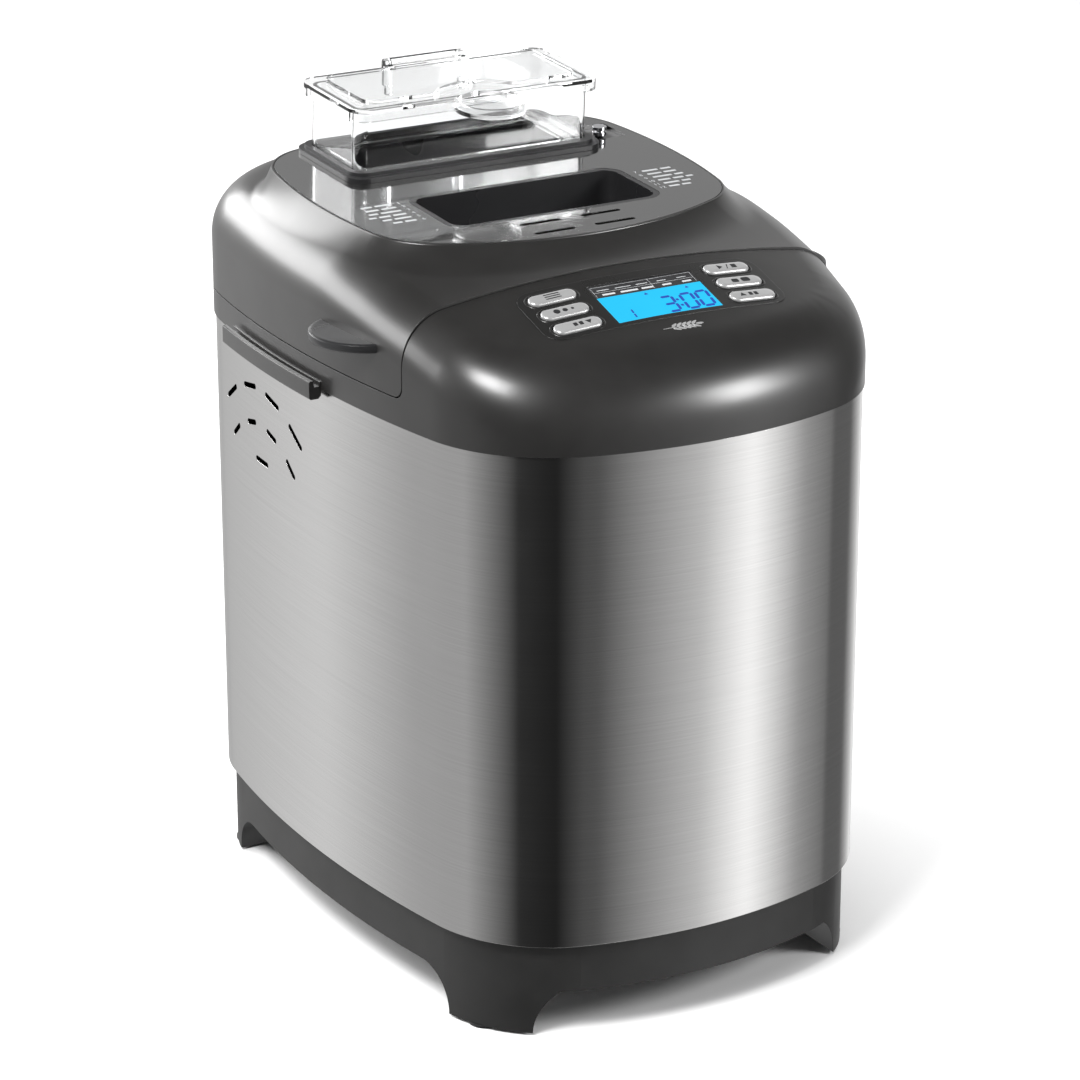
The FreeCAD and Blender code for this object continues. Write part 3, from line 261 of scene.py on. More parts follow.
BUILT: dict[str, bpy.types.Material] = {}
UNLIT = (0.01, 0.01, 0.01, 1)
CHARCOAL = (0.0125, 0.0120, 0.0116)
FINISHES: dict[str, Finish] = {f.name: f for f in (
    Finish("charcoal_moulding", (0.013, 0.0128, 0.0125), (0.018, 0.0177, 0.0173), 0.44, relief=0.03 * MM),
    Finish("housing_gloss", CHARCOAL, (0.016, 0.0155, 0.015), 0.34, relief=0.004 * MM, coat=0.5,
           coat_rough=0.24),
    Finish("wrap_steel", (0.58, 0.575, 0.57), (0.66, 0.655, 0.65), 0.15, Grain.BRUSHED, metal=1,
           relief=0.003 * MM, turned=0.8),
    Finish("pressed_steel", (0.52, 0.52, 0.52), (0.60, 0.60, 0.59), 0.34, Grain.SHEET, metal=1),
    Finish("oven_aluminised", (0.44, 0.44, 0.43), (0.56, 0.56, 0.55), 0.36, Grain.SPANGLE, metal=1,
           relief=0.01 * MM),
    Finish("element_steel", (0.13, 0.12, 0.12), (0.20, 0.18, 0.17), 0.45, Grain.SHEET, metal=0.8),
    Finish("screw_steel", (0.60, 0.60, 0.62), (0.68, 0.68, 0.70), 0.2, Grain.WOUND, metal=1),
    Finish("handle_wire", (0.62, 0.62, 0.63), (0.70, 0.70, 0.70), 0.16, Grain.POLISH, metal=1),
    Finish("motor_steel", (0.28, 0.28, 0.30), (0.36, 0.36, 0.38), 0.4, Grain.SHEET, metal=0.8),
    Finish("cast_alloy", (0.55, 0.55, 0.55), (0.62, 0.62, 0.62), 0.45, metal=1, relief=0.06 * MM),
    Finish("bush_bronze", (0.55, 0.36, 0.17), (0.64, 0.44, 0.22), 0.35, Grain.WOUND, metal=1),
    Finish("pulley_nylon", (0.74, 0.72, 0.66), (0.80, 0.78, 0.73), 0.4),
    Finish("belt_rubber", (0.020, 0.020, 0.020), (0.030, 0.030, 0.030), 0.6, Grain.WOUND),
    Finish("pad_rubber", (0.014, 0.014, 0.015), (0.021, 0.021, 0.022), 0.38, relief=0.03 * MM),
    Finish("seal_silicone", (0.30, 0.30, 0.30), (0.35, 0.35, 0.35), 0.5),
    Finish("component_black", (0.018, 0.018, 0.019), (0.028, 0.028, 0.030), 0.4),
    Finish("inner_plastic", (0.013, 0.013, 0.014), (0.020, 0.020, 0.021), 0.3, Grain.POLISH),
    Finish("board_green", (0.02, 0.16, 0.06), (0.05, 0.26, 0.10), 0.3, Grain.BOARD, coat=0.5),
    Finish("display_blue", (0.0, 0.58, 0.97), (0.0, 0.61, 1.0), 0.3, Grain.POLISH, glow=1.0, coat=0.1),
    Finish("island_gloss", (0.011, 0.0108, 0.0105), (0.014, 0.0137, 0.0133), 0.30, Grain.POLISH, coat=0.5,
           coat_rough=0.2, relief=0.004 * MM),
    Finish("key_silver", (0.42, 0.42, 0.42), (0.48, 0.48, 0.48), 0.32, Grain.SHEET, metal=0.5, coat=0.5),
    Finish("smoked_panel", (0.010, 0.010, 0.0098), (0.014, 0.014, 0.0137), 0.14, Grain.POLISH, coat=1.0,
           coat_rough=0.03, relief=0.01 * MM),
    Finish("window_glass", (0.80, 0.83, 0.84), (0.84, 0.86, 0.87), 0.03, Grain.POLISH, clear=0.9, relief=0),
    Finish("clear_plastic", (0.925, 0.93, 0.932), (0.935, 0.94, 0.942), 0.015, Grain.POLISH, clear=1.0,
           index=1.46, relief=0.004 * MM, edge=0.3 * MM),
    Finish("pan_nonstick", (0.045, 0.045, 0.048), (0.12, 0.12, 0.125), 0.38, Grain.FLECKED),
    Finish("flap_steel", (0.58, 0.58, 0.58), (0.66, 0.66, 0.66), 0.22, Grain.SHEET, metal=1),
    Finish("catch_chrome", (0.66, 0.66, 0.68), (0.74, 0.74, 0.76), 0.12, Grain.POLISH, metal=1),
    # finishes of the small printed and lit details
    Finish("print_pale", (0.42, 0.43, 0.44), (0.50, 0.51, 0.52), 0.5),
    Finish("print_dark", (0.012, 0.012, 0.013), (0.016, 0.016, 0.017), 0.5),
    Finish("segment_ink", (0.0, 0.06, 0.50), (0.0, 0.08, 0.56), 0.4, Grain.POLISH, glow=0.9),
)}


# ---------------------------------------------------------------- mesh helpers
def piece(name: str, mesh: Mesh, finish: str, body: str, stands_for: Sequence[str] = (),
          smooth: float = 35.0) -> bpy.types.Object:
    """Turn a mesh into a finished piece that rides on a body.

    Args:
        name: the piece's name.
        mesh: its mesh, in the row frame.
        finish: key of its finish.
        body: body it rides on.
        stands_for: frame nodes that it replaces.
        smooth: angle in degrees above which an edge stays sharp.

    Returns:
        The new object.
    """
    item = in_scene(name, mesh)
    mesh.shade_smooth()
    mesh.set_sharp_from_angle(angle=math.radians(smooth))
    mesh.materials.clear()
    mesh.materials.append(FINISHES[finish].material())
    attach(item, body)
    if stands_for:
        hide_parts(*stands_for)
    log.info("%s: %d faces on %s", name, len(mesh.polygons), body)
    return item


def turned_outwards(mesh: Mesh, weld: float = 0.0) -> Mesh:
    """Turn every face of a closed mesh outwards.

    Args:
        mesh: the mesh, which is changed.
        weld: distance under which points are joined first.

    Returns:
        The same mesh.
    """
    work = bmesh.new()
    work.from_mesh(mesh)
    if weld:
        bmesh.ops.remove_doubles(work, verts=work.verts, dist=weld)
    bmesh.ops.recalc_face_normals(work, faces=work.faces)
    work.to_mesh(mesh)
    work.free()
    return mesh


def mesh_from(points: np.ndarray, faces: Iterable[Sequence[int]]) -> Mesh:
    """Make a mesh whose faces look outwards.

    Args:
        points: rows of x, y, z.
        faces: indexes of each face's points.

    Returns:
        The mesh.
    """
    mesh = bpy.data.meshes.new("mesh")
    mesh.from_pydata([tuple(map(float, p)) for p in points], [], [tuple(map(int, f)) for f in faces])
    return turned_outwards(mesh)


def lofted(rings: Sequence[np.ndarray], closed: bool = True, caps: bool = True) -> Mesh:
    """Skin a stack of rings that all have the same number of points.

    Args:
        rings: arrays of points, each one ring.
        closed: whether each ring is a loop.
        caps: whether the first and last rings are filled.

    Returns:
        The skinned mesh.
    """
    count, rows = len(rings[0]), len(rings)
    span = count if closed else count - 1
    faces: list[Sequence[int]] = []
    for r in range(rows - 1):
        for i in range(span):
            j = (i + 1) % count
            faces.append((r * count + i, r * count + j, (r + 1) * count + j, (r + 1) * count + i))
    if caps:
        faces.append(tuple(range(count)))
        faces.append(tuple(range((rows - 1) * count, rows * count)))
    return mesh_from(np.concatenate(rings), faces)


def joined(meshes: Sequence[Mesh], place: Matrix = Matrix.Identity(4)) -> Mesh:
    """Put several meshes into one.

    Args:
        meshes: the meshes.
        place: where the whole is moved to.

    Returns:
        One new mesh.
    """
    work = bmesh.new()
    for mesh in meshes:
        work.from_mesh(mesh)
    result = bpy.data.meshes.new("mesh")
    work.to_mesh(result)
    work.free()
    result.transform(place)
    return result


def in_scene(name: str, data: bpy.types.ID | None) -> bpy.types.Object:
    """Return a new object that holds data and stands in the scene."""
    item = bpy.data.objects.new(name, data)
    bpy.context.scene.collection.objects.link(item)
    return item


def with_modifiers(items: Sequence[bpy.types.Object]) -> Mesh:
    """Apply the first object's modifiers and remove all the objects.

    Args:
        items: the object to apply, then those that its modifiers use.

    Returns:
        A new mesh.
    """
    bpy.context.view_layer.update()
    graph = bpy.context.evaluated_depsgraph_get()
    result = bpy.data.meshes.new_from_object(items[0].evaluated_get(graph))
    for item in items:
        bpy.data.objects.remove(item)
    return result


def carved(mesh: Mesh, tool: Mesh, action: str = "DIFFERENCE") -> Mesh:
    """Cut a mesh with a tool.

    Args:
        mesh: the mesh to cut.
        tool: the closed mesh that cuts.
        action: the boolean's operation.

    Returns:
        A new mesh.
    """
    objects = [in_scene("carving", m) for m in (mesh, tool)]
    modifier = objects[0].modifiers.new("carve", "BOOLEAN")
    modifier.operation, modifier.solver, modifier.object = action, "EXACT", objects[1]
    return with_modifiers(objects)


def bevelled(mesh: Mesh, width: float, segments: int) -> Mesh:
    """Round a mesh's sharp edges.

    Args:
        mesh: the mesh.
        width: width of the rounding.
        segments: flats across it.

    Returns:
        A new mesh.
    """
    item = in_scene("rounding", mesh)
    modifier = item.modifiers.new("round", "BEVEL")
    modifier.width, modifier.segments = width, segments
    modifier.limit_method, modifier.angle_limit = "ANGLE", math.radians(40)
    return with_modifiers([item])


def rounded_rectangle(x0: float, y0: float, x1: float, y1: float, corner: float,
                      steps: int = 8) -> np.ndarray:
    """Draw a rectangle with round corners.

    Args:
        x0: left edge.
        y0: lower edge.
        x1: right edge.
        y1: upper edge.
        corner: radius of the corners.
        steps: chords in each corner.

    Returns:
        Its points, anticlockwise.
    """
    points = []
    for cx, cy, start in ((x1 - corner, y0 + corner, -90), (x1 - corner, y1 - corner, 0),
                          (x0 + corner, y1 - corner, 90), (x0 + corner, y0 + corner, 180)):
        for i in range(steps + 1):
            turn = math.radians(start + 90 * i / steps)
            points.append((cx + corner * math.cos(turn), cy + corner * math.sin(turn)))
    return np.array(points)


def level(outline: np.ndarray, height: float | np.ndarray) -> np.ndarray:
    """Return the outline's points at a height, as rows of x, y, z."""
    return np.column_stack([outline, np.broadcast_to(height, len(outline))])


def slab(outline: np.ndarray, low: float, high: float) -> Mesh:
    """Return an upright prism on an outline."""
    return lofted([level(outline, low), level(outline, high)])


def turned_about_z(profile: Sequence[Point], steps: int = 64) -> Mesh:
    """Turn a profile about Z.

    Args:
        profile: points as radius and height.
        steps: chords in the circle.

    Returns:
        The closed solid.
    """
    turns = np.linspace(0, 2 * math.pi, steps, endpoint=False)
    circle = np.column_stack([np.cos(turns), np.sin(turns)])
    return lofted([level(circle * r, z) for r, z in profile])


# ---------------------------------------------------------------- the body's form
@dataclass(frozen=True)
class Outline:
    """Rounded rectangle with bowed sides, made of eight tangent arcs."""

    half_width: float
    front: float
    back: float
    bows: tuple[float, float, float]
    corner: float

    def moved_in(self, inset: float) -> "Outline":
        """Return the parallel outline that lies inset further in."""
        return Outline(self.half_width - inset, self.front - inset, self.back - inset, self.bows,
                       self.corner - inset)

    def points(self, steps: int = 44) -> tuple[np.ndarray, np.ndarray]:
        """Return points and outward normals, anticlockwise from the front left.

        Args:
            steps: points on each of the eight arcs.

        Returns:
            The points and the normals, as two arrays.
        """
        front_bow, side_bow, back_bow = self.bows
        core_x = self.half_width - self.corner - side_bow
        low, high = -(self.front - self.corner - front_bow), self.back - self.corner - back_bow
        centres = [(-core_x, low), (core_x, low), (core_x, high), (-core_x, high)]
        sags = [front_bow, side_bow, back_bow, side_bow]
        spots, normals = [], []
        for i in range(4):
            (x0, y0), (x1, y1) = centres[i], centres[(i + 1) % 4]
            chord, sag = math.hypot(x1 - x0, y1 - y0), sags[i]
            radius = (chord * chord / 4 + sag * sag) / (2 * sag)
            facing = math.atan2(-(x1 - x0), y1 - y0)
            half = math.asin(chord / 2 / radius)
            cx = (x0 + x1) / 2 - math.cos(facing) * (radius - sag)
            cy = (y0 + y1) / 2 - math.sin(facing) * (radius - sag)
            following = math.atan2(-(centres[(i + 2) % 4][0] - x1), centres[(i + 2) % 4][1] - y1)
            next_chord = math.hypot(centres[(i + 2) % 4][0] - x1, centres[(i + 2) % 4][1] - y1)
            next_sag = sags[(i + 1) % 4]
            next_half = math.asin(next_chord / 2 / ((next_chord ** 2 / 4 + next_sag ** 2) / (2 * next_sag)))
            turn = (following - next_half) - (facing + half)
            turn = (turn + math.pi) % (2 * math.pi) - math.pi
            arcs = [(cx, cy, radius + self.corner, facing - half, 2 * half),
                    (x1, y1, self.corner, facing + half, turn)]
            for ax, ay, reach, start, sweep in arcs:
                for k in range(steps):
                    angle = start + sweep * k / steps
                    normal = (math.cos(angle), math.sin(angle))
                    normals.append(normal)
                    spots.append((ax + reach * normal[0], ay + reach * normal[1]))
        return np.array(spots), np.array(normals)


def nearest(points: np.ndarray, loop: np.ndarray, normals: np.ndarray) -> tuple[np.ndarray, ...]:
    """Find the closest spot of a loop to each point.

    Args:
        points: rows of x, y.
        loop: the loop's points.
        normals: outward normals at those points.

    Returns:
        Signed distance inwards, the spot, its normal and its place along the loop.
    """
    ahead = np.roll(loop, -1, axis=0)
    run = ahead - loop
    share = ((points[:, None] - loop) * run).sum(2) / (run * run).sum(1)
    share = np.clip(share, 0, 1)
    spots = loop + run * share[..., None]
    gap = np.linalg.norm(points[:, None] - spots, axis=2)
    best = gap.argmin(1)
    rows = np.arange(len(points))
    blend = share[rows, best][:, None]
    normal = normals[best] * (1 - blend) + np.roll(normals, -1, axis=0)[best] * blend
    normal /= np.linalg.norm(normal, axis=1)[:, None]
    spot = spots[rows, best]
    inwards = -((points - spot) * normal).sum(1)
    return inwards, spot, normal, best + blend[:, 0]


@dataclass(frozen=True)
class Crown:
    """A crowned top surface with a rolling-ball round-over onto the walls."""

    outline: Outline
    surface: Callable[[np.ndarray], np.ndarray]
    radius: Callable[[np.ndarray], np.ndarray]

    def heights(self, points: np.ndarray) -> np.ndarray:
        """Work out the outer surface over some points.

        Args:
            points: rows of x, y.

        Returns:
            The surface's height over each point.
        """
        loop, normals = self.outline.points()
        inwards, spot, normal, along = nearest(points, loop, normals)
        radius = self.radius(along / len(loop))
        core = spot - normal * radius[:, None]
        step = 1 * MM
        slope = (self.surface(core) - self.surface(core + normal * step)) / step
        lean = np.arctan(slope)
        centre = self.surface(core) - radius / np.cos(lean)
        depth = np.clip(radius - inwards, 0, radius)
        ball = centre + np.sqrt(np.maximum(radius ** 2 - depth ** 2, 0))
        on_ball = inwards < radius * (1 - np.sin(lean))
        return np.where(on_ball, ball, self.surface(points))


def solid_form(crown: Crown, inner: np.ndarray, floor: float,
               finish_height: Callable[[np.ndarray, np.ndarray], np.ndarray] | None = None,
               extra: Sequence[np.ndarray] = (), rows: int = 60) -> Mesh:
    """Build the closed solid under a crown.

    Args:
        crown: the form.
        inner: loop of points that the rows run in to, as many as the outline's.
        floor: height of the underside.
        finish_height: optional change to the heights, given points and heights.
        extra: further rings inside the inner loop.
        rows: rings between the outline and the inner loop.

    Returns:
        A closed mesh.
    """
    loop, _ = crown.outline.points()
    share = (1 - np.cos(np.pi * np.linspace(0, 1, rows))) / 2
    rings = [level(loop, floor)]
    for part in share:
        spots = loop + (inner - loop) * part
        heights = crown.heights(spots)
        if finish_height:
            heights = finish_height(spots, heights)
        rings.append(level(spots, heights))
    lowest_wall = rings[1][:, 2]
    wall = [level(loop, floor + (lowest_wall - floor) * k / 4) for k in (1, 2, 3)]
    return lofted(rings[:1] + wall + rings[1:] + list(extra))


def zone_block(front: float, floor: float, corner: float = 6 * MM) -> Mesh:
    """Make the room behind a front plane and above a floor.

    Args:
        front: the plane's Y.
        floor: the floor's height.
        corner: radius of the edge where they meet.

    Returns:
        A closed block, larger than the machine on its other sides.
    """
    back, top, half_width, steps = 350 * MM, 600 * MM, 250 * MM, 8
    profile = [(back, floor), (back, top), (front, top)]
    for i in range(steps + 1):
        turn = math.radians(180 + 90 * i / steps)
        profile.append((front + corner + corner * math.cos(turn), floor + corner + corner * math.sin(turn)))
    return lofted([np.array([(x, y, z) for y, z in profile]) for x in (-half_width, half_width)])


@dataclass(frozen=True)
class BodyForm:
    """Driving sizes of the body's form, shared by the housing and the lid."""

    outline: Outline = Outline(126 * MM, 176.3 * MM, 176.3 * MM, (7.2 * MM, 8.1 * MM, 7.5 * MM), 71.3 * MM)
    top: Outline = Outline(102.5 * MM, 63.1 * MM, 120.4 * MM, (13.6 * MM, 3.7 * MM, 7.1 * MM), 38.2 * MM)
    nose_radius: float = 44.6 * MM
    shoulder_radius: float = 27.8 * MM
    crown_radius: float = 0.7
    panel_spot: Point = (-120.1 * MM, 346.4 * MM)
    panel_pitch: float = math.radians(17.4)
    top_height: float = 369.8 * MM
    top_pitch: float = math.radians(3.6)
    seam_height: float = 308.3 * MM
    seam_depth: float = 88 * MM
    wall: float = 2.5 * MM
    hinge_spot: Point = (171.5 * MM, 315 * MM)
    hinge_barrel: float = 4.5 * MM

    @property
    def panel_frame(self) -> Matrix:
        """The control panel's own frame."""
        y, z = self.panel_spot
        return Matrix.Translation((0, y, z)) @ Matrix.Rotation(self.panel_pitch, 4, "X")

    @property
    def top_frame(self) -> Matrix:
        """The raised top's own frame."""
        return Matrix.Translation((0, 0, self.top_height)) @ Matrix.Rotation(self.top_pitch, 4, "X")

    def crown_drop(self, x: float | np.ndarray) -> float | np.ndarray:
        """Return the height lost by the crowned panel at a distance from its middle."""
        return self.crown_radius - np.sqrt(self.crown_radius ** 2 - np.square(x))

    def slope_height(self, points: np.ndarray) -> np.ndarray:
        """Work out the housing's crowned slope.

        Args:
            points: rows of x, y.

        Returns:
            The slope's height over each point.
        """
        y, z = self.panel_spot
        cos, sin = math.cos(self.panel_pitch), math.sin(self.panel_pitch)
        rise = -self.crown_drop(points[:, 0])
        along = (points[:, 1] - y + rise * sin) / cos
        return z + along * sin + rise * cos

    def lid_height(self, points: np.ndarray) -> np.ndarray:
        """Work out the lid's crowned surface.

        Args:
            points: rows of x, y.

        Returns:
            The surface's height over each point.
        """
        y = np.array([-200, -88, -42, -10, 60, 200]) * MM
        middle = np.array([342.0, 357.3, 364.5, 367.0, 367.5, 365.0]) * MM
        shoulder = np.array([333.0, 348.6, 357.2, 360.8, 361.0, 358.5]) * MM
        shoulder_x = 111 * MM
        rise, edge = smooth_curve(y, middle, points[:, 1]), smooth_curve(y, shoulder, points[:, 1])
        return rise - (rise - edge) * (points[:, 0] / shoulder_x) ** 2

    def top_plane(self, points: np.ndarray) -> np.ndarray:
        """Return the height of the raised top's plane over each point."""
        return self.top_height + math.tan(self.top_pitch) * points[:, 1]

    def housing_radius(self, along: np.ndarray) -> np.ndarray:
        """Return the round-over radius along the outline, large on the nose."""
        return self.blend_radius(along, self.nose_radius, self.shoulder_radius)

    def lid_radius(self, along: np.ndarray) -> np.ndarray:
        """Return the lid's round-over radius, the same all round."""
        return np.full(len(along), self.shoulder_radius)

    @staticmethod
    def blend_radius(along: np.ndarray, nose: float, shoulder: float) -> np.ndarray:
        """Blend between two radii along the two front corners.

        Args:
            along: places on the outline, 0 to 1 from its front left.
            nose: radius along the front.
            shoulder: radius along the sides and the rear.

        Returns:
            The radius at each place.
        """
        place = along * 8
        away = np.where(place < 1, 0, np.where(place < 2, place - 1, np.where(place < 7, 1, 8 - place)))
        away = away * away * (3 - 2 * away)
        return nose + (shoulder - nose) * away


def smooth_curve(knots: np.ndarray, values: np.ndarray, at: np.ndarray) -> np.ndarray:
    """Run a monotone cubic curve through some values.

    Args:
        knots: places of the values, rising.
        values: the values.
        at: places to read the curve at.

    Returns:
        The curve's value at each place.
    """
    slope = np.diff(values) / np.diff(knots)
    steep = np.zeros(len(knots))
    same_sign = slope[:-1] * slope[1:] > 0
    steep[1:-1] = np.where(same_sign, 2 * slope[:-1] * slope[1:] / (slope[:-1] + slope[1:] + 1e-12), 0)
    steep[0], steep[-1] = slope[0], slope[-1]
    cell = np.clip(np.searchsorted(knots, at) - 1, 0, len(knots) - 2)
    width = knots[cell + 1] - knots[cell]
    t = np.clip((at - knots[cell]) / width, 0, 1)
    return ((2 * t ** 3 - 3 * t ** 2 + 1) * values[cell] + (t ** 3 - 2 * t ** 2 + t) * width * steep[cell]
            + (3 * t ** 2 - 2 * t ** 3) * values[cell + 1] + (t ** 3 - t ** 2) * width * steep[cell + 1])


FORM = BodyForm()


def in_panel(mesh: Mesh, u: float = 0, v: float = 0) -> Mesh:
    """Move a mesh from the origin onto the crowned control panel.

    Args:
        mesh: the mesh, which is moved.
        u: distance along the panel.
        v: distance up the panel.

    Returns:
        The same mesh.
    """
    lean = math.asin(u / FORM.crown_radius)
    spot = Matrix.Translation((u, v, -FORM.crown_drop(u))) @ Matrix.Rotation(lean, 4, "Y")
    mesh.transform(FORM.panel_frame @ spot)
    return mesh


# ---------------------------------------------------------------- outer shells
@dataclass
class SteelWrap:
    """Brushed stainless wrap with hemmed edges and a fan of vent slots."""

    inset: float = 1.0 * MM
    thick: float = 0.8 * MM
    hem: float = 1.6 * MM
    edge_round: float = 0.3 * MM
    edge_rise: float = 0.4 * MM
    fan_spot: Point = (53.7 * MM, 199.1 * MM)
    slot_width: float = 2.8 * MM
    # rows of the fan: distance from its spot and slot length in millimetres, then angles in degrees
    fan: tuple[tuple[float, float, tuple[float, ...]], ...] = (
        (75, 16.7, (-33, -11, 11, 33)), (56.5, 12.0, (-38, -13, 13, 38)), (38, 15.7, (0,)))

    def sheet(self) -> Mesh:
        """Return the wrap as a closed band, its edges turned in."""
        low, high = (corner.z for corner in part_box("steel_wrap"))
        rings = []
        for inset, z in ((self.hem, low), (self.edge_round, low), (0, low + self.edge_rise),
                         (0, high - self.edge_rise), (self.edge_round, high), (self.hem, high),
                         (self.thick, high - self.hem), (self.thick, low + self.hem)):
            loop, _ = FORM.outline.moved_in(self.inset + inset).points()
            rings.append(level(loop, z))
        return lofted(rings + rings[:1], caps=False)

    def slots(self) -> Mesh:
        """Return the tools that cut both fans of slots."""
        tools = []
        reach = 200 * MM
        for radius, length, angles in self.fan:
            for angle in angles:
                half, width = length * MM / 2, self.slot_width / 2
                tool = slab(rounded_rectangle(-half, -width, half, width, width * 0.98), -reach, reach)
                lean = math.radians(angle)
                tangent = Vector((0, math.cos(lean), -math.sin(lean)))
                outwards = Vector((0, math.sin(lean), math.cos(lean)))
                turn = Matrix((tangent, outwards, Vector((1, 0, 0)))).transposed().to_4x4()
                spot = Vector((0, *self.fan_spot)) + outwards * radius * MM
                tool.transform(Matrix.Translation(spot) @ turn)
                tools.append(tool)
        return joined(tools)

    def build(self) -> None:
        """Make the wrap."""
        sheet = turned_outwards(self.sheet(), weld=0.001 * MM)
        piece("steel_wrap_skin", carved(sheet, self.slots()), "wrap_steel", "housing", ["steel_wrap"])


@dataclass
class UpperHousing:
    """Fixed top moulding: rail, deck round the oven, and the nose with the controls."""

    ear_spans: tuple[Point, ...] = ((24 * MM, 30 * MM), (44 * MM, 50 * MM))
    opening_half: Point = (88 * MM, 94 * MM)
    opening_y: float = 30 * MM
    opening_corner: float = 20 * MM

    def solid(self, inset: float, floor: float) -> Mesh:
        """Make the whole form without its cuts.

        Args:
            inset: how far it is moved in.
            floor: height of its underside.

        Returns:
            A closed mesh.
        """
        outline = FORM.outline.moved_in(inset)
        crown = Crown(outline, lambda p: FORM.slope_height(p) - inset,
                      lambda a: FORM.housing_radius(a) - inset)
        loop, _ = outline.points()
        centre = np.array([0, -60 * MM])
        return solid_form(crown, centre + (loop - centre) * 0.02, floor)

    def shell(self) -> Mesh:
        """Return the moulding with its seam, oven opening and panel holes."""
        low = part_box("upper_housing")[0].z
        wall = FORM.wall
        shape = carved(self.solid(0, low), zone_block(-FORM.seam_depth, FORM.seam_height))
        room = carved(self.solid(wall, low - 5 * MM),
                      zone_block(-FORM.seam_depth - wall, FORM.seam_height - wall))
        shape = carved(shape, room)
        (half, depth), y = self.opening_half, self.opening_y
        opening = rounded_rectangle(-half, y - depth, half, y + depth, self.opening_corner)
        return carved(shape, slab(opening, 290 * MM, 320 * MM))

    def ears(self) -> list[Mesh]:
        """Return the hinge ears behind the deck."""
        barrel, (y, z) = FORM.hinge_barrel, FORM.hinge_spot
        ears = []
        turns = np.radians(np.linspace(0, 180, 17))
        outline = [(y + barrel * math.cos(t), z + barrel * math.sin(t)) for t in turns]
        outline += [(y - barrel, FORM.seam_height - FORM.wall), (y + barrel, FORM.seam_height - FORM.wall)]
        for low, high in self.ear_spans:
            for sign in (-1, 1):
                rings = [np.array([(sign * x, *p) for p in outline]) for x in (low, high)]
                ears.append(bevelled(lofted(rings), 0.5 * MM, 2))
        return ears

    def build(self, holes: Mesh) -> None:
        """Make the moulding, with the holes of the controls cut out."""
        shape = carved(self.shell(), holes)
        piece("upper_housing_skin", joined([shape, *self.ears()]), "housing_gloss", "housing",
              ["upper_housing"])


@dataclass
class CarryHandles:
    """Grip bars along both sides, each with a groove between wall and lip."""

    reach: float = 6.5 * MM
    span: Point = (-18.5 * MM, 87 * MM)

    def profile(self) -> list[Point]:
        """Return the bar's section as (distance out from the wall, height)."""
        low, high = (corner.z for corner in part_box("carry_handles"))
        lip, floor, r = 2.4 * MM, high - 3.2 * MM, 0.9 * MM
        return [(0, low + 1.5 * MM), (1.5 * MM, low), (self.reach - r, low), (self.reach, low + r),
                (self.reach, high - r), (self.reach - 0.3 * r, high - 0.3 * r), (self.reach - r, high),
                (self.reach - lip, high), (self.reach - lip - 0.4 * MM, floor), (1.0 * MM, floor),
                (0.6 * MM, high - 1.0 * MM), (0, high - 1.0 * MM)]

    def build(self) -> None:
        """Make both bars."""
        loop, normals = FORM.outline.points(90)
        bars = []
        for sign in (-1, 1):
            on_side = [(p, n) for p, n in zip(loop, normals)
                       if p[0] * sign > 0 and self.span[0] <= p[1] <= self.span[1]]
            on_side.sort(key=lambda pair: pair[0][1])
            rings = [np.array([(*(p + n * out), z) for out, z in self.profile()]) for p, n in on_side]
            bars.append(lofted(rings))
        piece("carry_handle_bars", joined(bars), "housing_gloss", "housing", ["carry_handles"], smooth=30)


